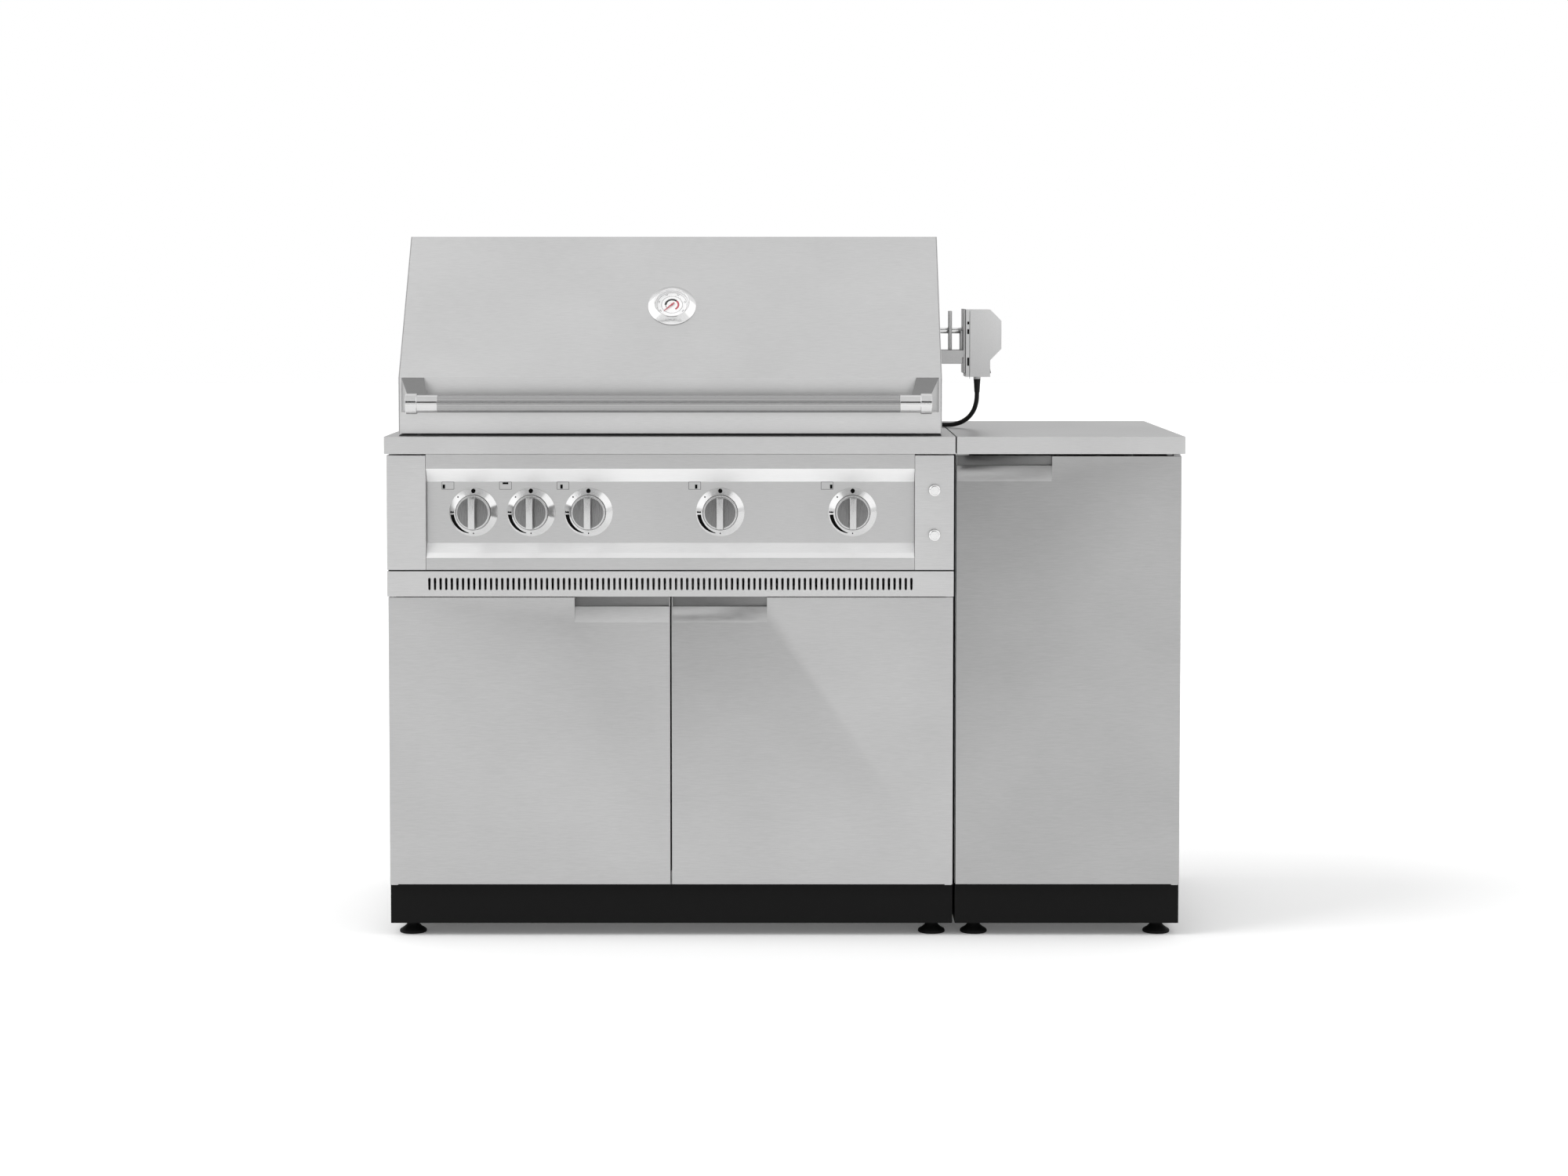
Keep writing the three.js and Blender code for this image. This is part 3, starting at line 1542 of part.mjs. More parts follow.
piece(sideUnit, "side_worktop", worktop(sideWidth), brushed);
piece(sideUnit, "side_base", base(sideWidth), blackPaint);
piece(sideUnit, "side_panel_left", sidePanel(sideWidth, -1, 0), brushed);
piece(sideUnit, "side_panel_right", sidePanel(sideWidth, 1, sideDoorTop), brushed);
piece(sideUnit, "side_back", backPanel(sideWidth, false), brushed);
piece(sideUnit, "side_floor", floorPanel(sideWidth), brushed);
piece(sideUnit, "side_shelf", shelf(sideWidth, shelfHeight), brushed);
const sideDoorEdge = sideWidth / 2 - doorSideInset;
piece(sideUnit, "side_door", doorPan(-sideDoorEdge, sideDoorEdge, sideDoorTop, 1), brushed);
piece(sideUnit, "side_door_liner", doorLiner(-sideDoorEdge, sideDoorEdge, sideDoorTop, 1), brushed);

export default island;
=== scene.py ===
# %% [markdown]
# # Dressing an outdoor kitchen island
# The CAD model of a built-in gas grill and its side cabinet is already finished: every sheet, hinge,
# burner and button has its real size and place. This lesson dresses it for the camera. It gives the folded
# steel its grain and its rounded bends, swaps faceted turned parts for smooth ones, and prints the small
# marks beside the knobs. Nothing moves and nothing grows, because the CAD model is the fixed frame that
# all of this hangs on.

# %% Load the fixed frame
import math

import bmesh
import bpy
from mathutils import Matrix, Vector


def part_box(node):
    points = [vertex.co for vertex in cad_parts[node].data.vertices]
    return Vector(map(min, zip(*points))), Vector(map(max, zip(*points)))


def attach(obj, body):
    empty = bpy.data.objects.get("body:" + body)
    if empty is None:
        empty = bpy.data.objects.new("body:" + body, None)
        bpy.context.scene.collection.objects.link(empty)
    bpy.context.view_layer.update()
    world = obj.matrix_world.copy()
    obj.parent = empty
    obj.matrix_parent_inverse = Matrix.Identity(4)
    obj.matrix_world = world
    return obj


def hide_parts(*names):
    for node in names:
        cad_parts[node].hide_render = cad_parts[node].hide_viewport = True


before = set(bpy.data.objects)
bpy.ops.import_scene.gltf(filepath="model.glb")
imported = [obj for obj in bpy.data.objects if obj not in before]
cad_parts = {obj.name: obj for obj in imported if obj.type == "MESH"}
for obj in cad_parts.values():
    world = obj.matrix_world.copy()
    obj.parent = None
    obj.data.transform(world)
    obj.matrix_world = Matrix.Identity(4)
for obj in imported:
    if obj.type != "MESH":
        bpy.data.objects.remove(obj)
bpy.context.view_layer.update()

# %% [markdown]
# Lengths below are in millimetres, which is how a sheet-metal drawing is written. Inside the grill
# cabinet, x counts from the cabinet's middle and y from the front edge of its worktop, and the frame says
# where that is.

# %% Places in the grill cabinet
MM = 0.001
worktop_low, worktop_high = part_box("grill_worktop")
GRILL_MIDDLE = (worktop_low[0] + worktop_high[0]) / 2
WORKTOP_FRONT = worktop_low[1]


def at(x, y, z):
    return Vector((GRILL_MIDDLE + x * MM, WORKTOP_FRONT + y * MM, z * MM))


print("grill middle:", round(GRILL_MIDDLE, 4), "worktop front:", round(WORKTOP_FRONT, 4))

# %% [markdown]
# ## Camera
# A product photograph of a cabinet is taken from far away with a long lens, held nearly level so that
# upright edges stay upright, and the frame is shifted down to bring the cabinet to its middle. Here half
# of that is done by a shift and half by a tilt of under three degrees, which leaves every edge upright to
# within a pixel and keeps the hood in the frame when the camera goes round to the sides.

# %% Camera
CAMERA_SIDE = -1.1
CAMERA_BACK = 5296
CAMERA_HEIGHT = 1174.3
CAMERA_LENS = 68.54
CAMERA_TILT = 2.806
CAMERA_SHIFT = -0.1
SENSOR_WIDTH = 36
FARTHEST_SEEN = 100

lens = bpy.data.cameras.new("camera")
lens.lens = CAMERA_LENS
lens.sensor_width = SENSOR_WIDTH
lens.shift_y = CAMERA_SHIFT
lens.clip_end = FARTHEST_SEEN
camera = bpy.data.objects.new("camera", lens)
camera.location = (CAMERA_SIDE * MM, WORKTOP_FRONT - CAMERA_BACK * MM, CAMERA_HEIGHT * MM)
camera.rotation_euler = (math.radians(90 - CAMERA_TILT), 0, 0)
bpy.context.scene.collection.objects.link(camera)
bpy.context.scene.camera = camera
bpy.context.scene.view_settings.view_transform = "Standard"

# %% [markdown]
# ## Helpers for materials
# A Principled shader has dozens of sockets, but a finish is mostly three of them: base colour, metallic
# and roughness. `finish` sets those, and the helpers after it wire in grain and bumps.


# %% Material helpers
def grey(level):
    """A screen grey from 0 to 255 as the linear colour that Blender works in."""
    share = level / 255
    linear = ((share + 0.055) / 1.055) ** 2.4 if share > 0.04045 else share / 12.92
    return (linear, linear, linear, 1)


def finish(name, colour, metallic, roughness):
    material = bpy.data.materials.new(name)
    material.use_nodes = True
    shader = material.node_tree.nodes["Principled BSDF"]
    shader.inputs["Base Color"].default_value = colour
    shader.inputs["Metallic"].default_value = metallic
    shader.inputs["Roughness"].default_value = roughness
    return material


def add_node(material, kind, **settings):
    node = material.node_tree.nodes.new(kind)
    for key, value in settings.items():
        setattr(node, key, value)
    return node


def wire(material, source, target):
    material.node_tree.links.new(source, target)


def stretched_noise(material, scale, detail):
    """Noise on Object coordinates, squeezed or stretched along each axis."""
    place = add_node(material, "ShaderNodeTexCoord")
    mapping = add_node(material, "ShaderNodeMapping")
    mapping.inputs["Scale"].default_value = scale
    noise = add_node(material, "ShaderNodeTexNoise")
    noise.inputs["Scale"].default_value = 1
    noise.inputs["Detail"].default_value = detail
    wire(material, place.outputs["Object"], mapping.inputs["Vector"])
    wire(material, mapping.outputs["Vector"], noise.inputs["Vector"])
    return noise.outputs["Fac"]


def remap(material, value, low, high):
    """Spreads the middle of a noise, where nearly all of it lies, over the range from low to high."""
    ranges = add_node(material, "ShaderNodeMapRange")
    ranges.inputs["From Min"].default_value = 0.3
    ranges.inputs["From Max"].default_value = 0.7
    ranges.inputs["To Min"].default_value = low
    ranges.inputs["To Max"].default_value = high
    wire(material, value, ranges.inputs["Value"])
    return ranges.outputs["Result"]


def blend_colours(material, value, low, high):
    mix = add_node(material, "ShaderNodeMix", data_type="RGBA")
    mix.inputs["A"].default_value = low
    mix.inputs["B"].default_value = high
    wire(material, value, mix.inputs["Factor"])
    return mix.outputs["Result"]


def add_bump(material, value, strength, distance):
    bump = add_node(material, "ShaderNodeBump")
    bump.inputs["Strength"].default_value = strength
    bump.inputs["Distance"].default_value = distance
    shader = material.node_tree.nodes["Principled BSDF"]
    wire(material, value, bump.inputs["Height"])
    wire(material, bump.outputs["Normal"], shader.inputs["Normal"])


# %% [markdown]
# ## Brushed stainless steel
# The sheet is rubbed with a long abrasive belt, so its scratches are a few millimetres to a few
# centimetres long and a few tenths wide, and they all run one way. Noise that is stretched along the
# belt's direction gives that. It varies the colour and the roughness a little, and drives a very shallow
# bump, which smears reflections across the grain as real brushing does. A second, broad noise adds the
# faint clouds of a large panel. Panels that face left and right get the same finish with the grain along
# y.


# %% Brushed steel
ALONG_GRAIN = 55
ACROSS_GRAIN = 1300
CLOUDS = 5
CLOUD_SHARE = 0.35
SCRATCH_DEPTH = 0.00006


def brushed_steel(name, grain, dark, light, roughness, bump=0.25):
    material = finish(name, grey(light), 1, roughness)
    shader = material.node_tree.nodes["Principled BSDF"]
    scale = [ALONG_GRAIN if axis == grain else ACROSS_GRAIN for axis in "xyz"]
    streaks = stretched_noise(material, scale, 4)
    clouds = stretched_noise(material, (CLOUDS,) * 3, 2)
    mixed = add_node(material, "ShaderNodeMath", operation="MULTIPLY_ADD")
    mixed.inputs[1].default_value = CLOUD_SHARE
    wire(material, clouds, mixed.inputs[0])
    share = add_node(material, "ShaderNodeMath", operation="MULTIPLY")
    share.inputs[1].default_value = 1 - CLOUD_SHARE
    wire(material, streaks, share.inputs[0])
    wire(material, share.outputs[0], mixed.inputs[2])
    amount = remap(material, mixed.outputs[0], 0, 1)
    wire(material, blend_colours(material, amount, grey(dark), grey(light)), shader.inputs["Base Color"])
    wire(material, remap(material, streaks, roughness - 0.05, roughness + 0.06), shader.inputs["Roughness"])
    add_bump(material, streaks, bump, SCRATCH_DEPTH)
    return material


STEEL = brushed_steel("steel_grain_x", "x", 192, 206, 0.34)
STEEL_FRONT = brushed_steel("steel_front", "x", 182, 196, 0.34)
STEEL_HOOD = brushed_steel("steel_hood", "x", 203, 217, 0.34)
STEEL_DOOR = brushed_steel("steel_door", "x", 178, 193, 0.34)
STEEL_SIDE_DOOR = brushed_steel("steel_side_door", "x", 166, 181, 0.34)
# Painted light: the next three steels are lighter steels for the control panel's slopes and the knobs'
# sides, and a nearly white painted highlight for the panel's last bend.
STEEL_PAINTED_LIGHT = brushed_steel("steel_painted_light", "x", 246, 253, 0.6)
STEEL_PAINTED_LOWER_SLOPE_LIGHT = brushed_steel("steel_painted_lower_slope_light", "x", 240, 250, 0.5)
STEEL_PAINTED_HIGHLIGHT = brushed_steel("steel_painted_highlight", "x", 248, 254, 0.35)
STEEL_RING = brushed_steel("steel_ring", "x", 200, 216, 0.17, 0.06)
STEEL_SIDE = brushed_steel("steel_grain_y", "y", 184, 198, 0.34)
STEEL_INNER = brushed_steel("steel_inner", "x", 176, 196, 0.42)
STEEL_POLISHED = brushed_steel("steel_polished", "x", 214, 232, 0.16, 0.06)
STEEL_DISC = brushed_steel("steel_disc", "z", 104, 136, 0.28, 0.12)
STEEL_GRIP = brushed_steel("steel_grip", "z", 192, 208, 0.28, 0.12)
STEEL_SLEEVE = brushed_steel("steel_sleeve", "x", 204, 220, 0.14, 0.06)
STEEL_SHADED = brushed_steel("steel_shaded", "x", 128, 142, 0.4)
STEEL_BURNT = brushed_steel("steel_burnt", "x", 62, 88, 0.55)

# %% [markdown]
# ## Other finishes
# The base frame is powder coated, which leaves a fine orange-peel texture. The rotisserie's castings are
# sprayed silver grey. The cord is soft rubber, the dial and its marks are print. The glass is thin and
# flat, so a low alpha shows it well enough and lets the light through to the dial. The handle's grip is
# knurled: a checker turned by 45 degrees stands for the little diamonds, in colour and in height.


# %% Other finishes
COAT_DEPTH = 0.0002
DIAMONDS = 900


def coated(name, dark, light, metallic, roughness, grain_size, bump, shine=0.5):
    material = finish(name, grey(light), metallic, roughness)
    shader = material.node_tree.nodes["Principled BSDF"]
    shader.inputs["Specular IOR Level"].default_value = shine
    peel = stretched_noise(material, (grain_size,) * 3, 4)
    colour = blend_colours(material, remap(material, peel, 0, 1), grey(dark), grey(light))
    wire(material, colour, shader.inputs["Base Color"])
    wire(material, remap(material, peel, roughness - 0.05, roughness + 0.07), shader.inputs["Roughness"])
    add_bump(material, peel, bump, COAT_DEPTH)
    return material


def knurled(name, dark, light):
    material = finish(name, grey(light), 1, 0.25)
    place = add_node(material, "ShaderNodeTexCoord")
    turn = add_node(material, "ShaderNodeMapping")
    turn.inputs["Rotation"].default_value = (math.radians(45), 0, math.radians(45))
    diamonds = add_node(material, "ShaderNodeTexChecker")
    diamonds.inputs["Scale"].default_value = DIAMONDS
    wire(material, place.outputs["Object"], turn.inputs["Vector"])
    wire(material, turn.outputs["Vector"], diamonds.inputs["Vector"])
    colour = blend_colours(material, diamonds.outputs["Fac"], grey(dark), grey(light))
    wire(material, colour, material.node_tree.nodes["Principled BSDF"].inputs["Base Color"])
    add_bump(material, diamonds.outputs["Fac"], 0.35, COAT_DEPTH)
    return material


BLACK_COAT = coated("black_powder_coat", 16, 22, 0, 0.6, 700, 0.2, 0.1)
SILVER_COAT = coated("silver_spray", 218, 226, 0.1, 0.5, 900, 0.12)
SILVER_PLATE = coated("silver_plate", 188, 200, 0.8, 0.4, 900, 0.12)
# Painted shade: a darker grey for the rounded edges of the rotisserie's castings.
SILVER_SHADED_EDGE = coated("silver_shaded_edge", 118, 132, 0.2, 0.5, 900, 0.12)
CAST_STEEL = coated("cast_steel", 150, 176, 0.7, 0.5, 500, 0.3)
# The cord's rubber also serves as painted shade in the gap under the control panel.
RUBBER_AND_GAP_SHADE = coated("rubber_and_gap_shade", 14, 24, 0, 0.5, 1200, 0.25, 0.3)
SWITCH_BLACK = coated("switch_black", 18, 26, 0, 0.35, 1500, 0.1, 0.3)
DIAL_WHITE = coated("dial_white", 240, 248, 0, 0.45, 900, 0.02)
# The print black also serves as painted shade for the motor's slot openings.
PRINT_AND_SHADE_BLACK = coated("print_and_shade_black", 4, 9, 0, 0.7, 1500, 0.03, 0.05)
PRINT_GREY = coated("print_grey", 92, 106, 0, 0.6, 1500, 0.03, 0.1)
KNURLED = knurled("knurled_steel", 144, 186)
PRINT_RED = finish("print_red", (0.46, 0.02, 0.05, 1), 0, 0.45)
GLASS = finish("gauge_glass", (1, 1, 1, 1), 0, 0.03)
GLASS.node_tree.nodes["Principled BSDF"].inputs["Alpha"].default_value = 0.04
print("materials:", len(bpy.data.materials))

# %% [markdown]
# ## Helpers for pieces
# Each new piece starts as a bmesh. `as_object` turns it into an object at the origin.


# %% Piece helpers
TOUCHING = 1e-6


def as_object(shape, name, material):
    mesh = bpy.data.meshes.new(name)
    shape.to_mesh(mesh)
    shape.free()
    mesh.materials.append(material)
    piece = bpy.data.objects.new(name, mesh)
    bpy.context.scene.collection.objects.link(piece)
    return piece


def settle(shape, name, material, body, nodes=(), sharp=35):
    piece = as_object(shape, name, material)
    piece.data.shade_smooth()
    piece.data.set_sharp_from_angle(angle=math.radians(sharp))
    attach(piece, body)
    if nodes:
        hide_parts(*nodes)
    return piece


def round_edges(piece, width, segments=2, angle=30):
    bevel = piece.modifiers.new("rounded_edges", "BEVEL")
    bevel.width = width * MM
    bevel.segments = segments
    bevel.limit_method = "ANGLE"
    bevel.angle_limit = math.radians(angle)
    bevel.harden_normals = True
    return piece


def paint_faces(piece, material, wanted):
    """Gives a second material to the faces for which wanted(normal, centre) is true."""
    index = len(piece.data.materials)
    piece.data.materials.append(material)
    for face in piece.data.polygons:
        if wanted(face.normal, face.center):
            face.material_index = index


def paint_bevel(piece, material):
    """Gives the rounded edges a material of their own."""
    piece.data.materials.append(material)
    piece.modifiers["rounded_edges"].material = len(piece.data.materials) - 1


def thicken(piece, thickness):
    """Gives a surface the thickness of a sheet, behind its face."""
    wall = piece.modifiers.new("sheet", "SOLIDIFY")
    wall.thickness = thickness * MM
    wall.offset = -1
    wall.use_even_offset = True
    return piece


def node_copy(node):
    """A CAD node's mesh as one clean surface: corners merged and flat triangles joined."""
    shape = bmesh.new()
    shape.from_mesh(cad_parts[node].data)
    bmesh.ops.remove_doubles(shape, verts=shape.verts, dist=TOUCHING)
    flat = math.radians(0.3)
    bmesh.ops.dissolve_limit(shape, angle_limit=flat, verts=shape.verts, edges=shape.edges)
    return shape


def dress(node, material, body, width=0.5, segments=2, angle=30, sharp=35):
    piece = settle(node_copy(node), node + "_finish", material, body, [node], sharp)
    return round_edges(piece, width, segments, angle)


def spun(profile, turn, place, steps=64):
    """A turned part: a line of (radius, height) points spun about z, then turned and moved into place."""
    shape = bmesh.new()
    points = [shape.verts.new((radius * MM, 0, height * MM)) for radius, height in profile]
    edges = [shape.edges.new(pair) for pair in zip(points, points[1:])]
    bmesh.ops.spin(
        shape, geom=points + edges, cent=(0, 0, 0), axis=Z_AXIS, angle=math.tau, steps=steps, use_merge=True
    )
    bmesh.ops.remove_doubles(shape, verts=shape.verts, dist=TOUCHING)
    bmesh.ops.recalc_face_normals(shape, faces=shape.faces)
    bmesh.ops.transform(shape, matrix=Matrix.Translation(place) @ turn, verts=shape.verts)
    return shape


UP = Matrix.Identity(4)
FACE_FRONT = Matrix.Rotation(math.radians(90), 4, "X")
FACE_RIGHT = Matrix.Rotation(math.radians(90), 4, "Y")
Z_AXIS = (0, 0, 1)


def block(low, high):
    shape = bmesh.new()
    bmesh.ops.create_cube(shape, size=1)
    size = Vector(high) - Vector(low)
    middle = (Vector(high) + Vector(low)) / 2
    matrix = Matrix.Translation(middle) @ Matrix.Diagonal((*size, 1))
    bmesh.ops.transform(shape, matrix=matrix, verts=shape.verts)
    return shape


def merged(*shapes):
    """One bmesh out of several, kept as separate closed shells."""
    total = shapes[0]
    for shape in shapes[1:]:
        carrier = bpy.data.meshes.new("carrier")
        shape.to_mesh(carrier)
        shape.free()
        total.from_mesh(carrier)
        bpy.data.meshes.remove(carrier)
    return total


def only_vertices(parts):
    return [part for part in parts if isinstance(part, bmesh.types.BMVert)]


def polar(reach, turn):
    """The point at a distance from the middle, turned from the x axis by so many degrees."""
    angle = math.radians(turn)
    return Vector((reach * math.cos(angle), reach * math.sin(angle), 0))


def turn_to_front(shape):
    """Turns all faces the same way, with most of them to the front."""
    bmesh.ops.recalc_face_normals(shape, faces=shape.faces)
    if sum(face.normal.y * face.calc_area() for face in shape.faces) > 0:
        bmesh.ops.reverse_faces(shape, faces=shape.faces)


# %% [markdown]
# ## The motor's cord
# The rotisserie motor plugs into a socket near the cabinet. Its cord is 8.7 mm thick and 1.75 m long. It
# leaves the motor's gland straight down, turns in behind the hood on the worktop, runs back along the
# hood's side, drops over the worktop's rear edge and lies on the floor behind the cabinets. The route
# repeats the points of the CAD solid, so both lie in the same place.

# %% Cord
CORD_THICKNESS = 8.7
CORD_ROUTE = [
    (565, 300, 997.9),
    (565, 300, 985),
    (565, 300.5, 970),
    (563.5, 303, 953),
    (557, 309, 935),
    (544, 319, 920.5),
    (526, 334, 912),
    (509, 353, 909.8),
    (499, 376, 909.8),
    (496, 405, 909.8),
    *[(495.5, y, 909.8) for y in (450, 500, 550)],
    (495.5, 598, 910.4),
    (495.5, 613, 910.4),
    (495.5, 628.5, 906),
    (495.5, 641, 895.5),
    (495.5, 648, 880),
    *[(495.5, 650, z) for z in (862, 800, 700, 550, 400, 250, 120)],
    (494, 650, 62),
    (486, 650, 32),
    (468, 650, 12),
    (442, 650.5, 5.3),
    (400, 653, 5.3),
    (345, 662, 5.3),
    (290, 668, 5.3),
    (235, 663, 5.3),
    (180, 653, 5.3),
    (125, 649, 5.3),
    (85, 649, 5.3),
    (45, 649, 5.3),
]

line = bpy.data.curves.new("power_cord", "CURVE")
line.dimensions = "3D"
line.resolution_u = 10
line.bevel_depth = CORD_THICKNESS / 2 * MM
line.bevel_resolution = 4
line.use_fill_caps = True
spline = line.splines.new("BEZIER")
spline.bezier_points.add(len(CORD_ROUTE) - 1)
for knot, point in zip(spline.bezier_points, CORD_ROUTE):
    knot.co = at(*point)
    knot.handle_left_type = knot.handle_right_type = "AUTO"
line.materials.append(RUBBER_AND_GAP_SHADE)
power_cord = bpy.data.objects.new("power_cord", line)
bpy.context.scene.collection.objects.link(power_cord)
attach(power_cord, "cabinet")
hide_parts("motor_cord")

# %% [markdown]
# A mains plug is moulded round the cord's end, so its body is soft-edged and its neck tapers. The CAD plug
# has the right outline; rounding its edges is all that it needs. Where the cord leaves the motor, a short
# tapered sleeve keeps it from kinking.

# %% Plug and strain relief
plug = dress("plug", RUBBER_AND_GAP_SHADE, "cabinet", 1.2, 3)
RELIEF_OUTLINE = [(0, 0), (6.6, 0), (6.2, -3), (5.2, -22), (4.5, -26), (0, -26)]
RELIEF_TOP = (565, 300, 998.2)
relief = spun(RELIEF_OUTLINE, UP, at(*RELIEF_TOP))
settle(relief, "strain_relief", RUBBER_AND_GAP_SHADE, "cabinet")

# %% [markdown]
# ## Studio
# The photograph is lit by a large soft source from the upper left, over a white floor that runs up into a
# white background. The world gives an even light. Camera, glossy and transmission rays see it as plain
# white, so the steel shows the white room as well. The floor lies a hair under the feet, keeps the
# object's soft shadow and glows a little, so that it is as white as the background away from the shadow.

# %% World and floor
ROOM_LIGHT = 0.78
FLOOR_LIFT = 0.1
FLOOR_WHITE = 0.97
FLOOR_REACH = 30
FLOOR_DROP = 0.0004
WHITE = (1, 1, 1, 1)

world = bpy.data.worlds.new("white_room")
bpy.context.scene.world = world
world.use_nodes = True
background = world.node_tree.nodes["Background"]
background.inputs["Color"].default_value = WHITE
rays = add_node(world, "ShaderNodeLightPath")
seen = add_node(world, "ShaderNodeMath", operation="MAXIMUM")
seen_too = add_node(world, "ShaderNodeMath", operation="MAXIMUM")
level = add_node(world, "ShaderNodeMapRange")
level.inputs["To Min"].default_value = ROOM_LIGHT
level.inputs["To Max"].default_value = 1
wire(world, rays.outputs["Is Camera Ray"], seen.inputs[0])
wire(world, rays.outputs["Is Glossy Ray"], seen.inputs[1])
wire(world, seen.outputs[0], seen_too.inputs[0])
wire(world, rays.outputs["Is Transmission Ray"], seen_too.inputs[1])
wire(world, seen_too.outputs[0], level.inputs["Value"])
wire(world, level.outputs["Result"], background.inputs["Strength"])

floor_white = finish("floor_white", (FLOOR_WHITE, FLOOR_WHITE, FLOOR_WHITE, 1), 0, 1)
floor_shader = floor_white.node_tree.nodes["Principled BSDF"]
floor_shader.inputs["Specular IOR Level"].default_value = 0
floor_shader.inputs["Emission Color"].default_value = WHITE
floor_rays = add_node(floor_white, "ShaderNodeLightPath")
floor_seen = add_node(floor_white, "ShaderNodeMath", operation="MAXIMUM")
floor_lift = add_node(floor_white, "ShaderNodeMath", operation="MULTIPLY")
floor_lift.inputs[1].default_value = FLOOR_LIFT
wire(floor_white, floor_rays.outputs["Is Camera Ray"], floor_seen.inputs[0])
wire(floor_white, floor_rays.outputs["Is Glossy Ray"], floor_seen.inputs[1])
wire(floor_white, floor_seen.outputs[0], floor_lift.inputs[0])
wire(floor_white, floor_lift.outputs[0], floor_shader.inputs["Emission Strength"])

floor_shape = bmesh.new()
bmesh.ops.create_grid(floor_shape, x_segments=1, y_segments=1, size=FLOOR_REACH)
bmesh.ops.translate(floor_shape, vec=(0, 0, -FLOOR_DROP), verts=floor_shape.verts)
as_object(floor_shape, "floor", floor_white)

# %% [markdown]
# Polished round metal looks like metal only when there is something dark to reflect. In a white room
# nothing is, so a photographer sets up black strips beside the camera. One long strip far in front gives
# the handle its thin dark line and the thermometer its dark patch. A short one at each side draws the dark
# notch on the rings of the knobs. A wide grey card above the front tones down the hood's slope and the
# handle's upper half, and a black one high behind the camera draws the dark band between the handle's
# halves. A grey one behind the cabinets stands for the wall that the worktops mirror. All of them show in
# reflections only, so they stay out of every picture.

# %% Cards for reflections
CARD_THICKNESS = 0.1
STRIP_DISTANCE = 9
SIDE_DISTANCE = 8


def reflected_card(name, material, low, high):
    card = as_object(block(low, high), name, material)
    card.visible_camera = False
    card.visible_diffuse = False
    card.visible_shadow = False


def card_grey(level):
    """A grey that glows by itself, so it looks the same wherever the card stands."""
    material = finish(f"card_{level}", grey(0), 0, 1)
    shader = material.node_tree.nodes["Principled BSDF"]
    shader.inputs["Emission Color"].default_value = grey(level)
    shader.inputs["Emission Strength"].default_value = 1
    return material


CARD_BLACK = finish("card_black", grey(20), 0, 1)
CARD_GREY = card_grey(196)
CARD_ABOVE = card_grey(236)
CARD_BEHIND = card_grey(185)
far_front = -STRIP_DISTANCE - CARD_THICKNESS
far_left = -SIDE_DISTANCE - CARD_THICKNESS
far_right = SIDE_DISTANCE + CARD_THICKNESS
far_back = STRIP_DISTANCE + CARD_THICKNESS
reflected_card("strip_front", CARD_BLACK, (-16, far_front, 1.05), (5, -STRIP_DISTANCE, 1.4))
reflected_card("strip_left", CARD_GREY, (far_left, -3.4, 0.6), (-SIDE_DISTANCE, -0.2, 0.8))
reflected_card("strip_right", CARD_GREY, (SIDE_DISTANCE, -3.4, 0.6), (far_right, -0.2, 0.8))
reflected_card("card_above", CARD_ABOVE, (-1.5, -3.4, 3.2), (1.3, 0.3, 3.25))
reflected_card("card_behind", CARD_BEHIND, (-4, STRIP_DISTANCE, 0.9), (4, far_back, 3.6))
reflected_card("card_front", CARD_BLACK, (-3.4, far_front, 2.9), (2.4, -STRIP_DISTANCE, 6.1))

# %% [markdown]
# Two wide soft lights are left: the key at the upper left and a weak one at the upper right. They are suns
# with a large angle, so they are as soft as a window and light every part alike. In steel a sun would burn
# out a whole panel as soon as the panel mirrors it, so each lamp is split in two: one half gives the light
# and the shadow, and the other, wider and dimmer, is what the steel mirrors. On the dished rings it shows
# as a white wedge.


# %% Soft lights
def soft_light(name, energy, spread, direction, mirrored):
    lamp = bpy.data.lights.new(name, "SUN")
    lamp.energy = energy
    lamp.angle = math.radians(spread)
    holder = bpy.data.objects.new(name, lamp)
    holder.rotation_euler = Vector(direction).to_track_quat("Z", "Y").to_euler()
    holder.visible_glossy = mirrored
    holder.visible_diffuse = not mirrored
    bpy.context.scene.collection.objects.link(holder)


KEY_SIDE = (-0.69, -0.2, 0.69)
FILL_SIDE = (0.8, -0.2, 0.56)
soft_light("key", 1.25, 36, KEY_SIDE, False)
soft_light("key_mirrored", 0.7, 76, KEY_SIDE, True)
soft_light("fill", 0.3, 32, FILL_SIDE, False)
soft_light("fill_mirrored", 0.3, 54, FILL_SIDE, True)

# %% [markdown]
# ## Folded sheet
# Worktops, doors, stiles, hood and end panels are bent from 1.5 mm sheet. A press brake can't make a
# perfectly sharp corner, and that small radius catches a thin line of light along every edge. The CAD
# pieces have the right shape with sharp edges, so each is copied, cleaned and given a bevel of half a
# millimetre. The worktops' upper faces get a darker steel than the fronts, as painted shade. The finger
# pull of a door is stamped into its top edge: its slope is painted brighter, as painted light, and its deep
# face is painted darker, as painted shade.

# %% Folded sheet pieces
PULL_DEPTH = 7
PULL_HEIGHT = 46

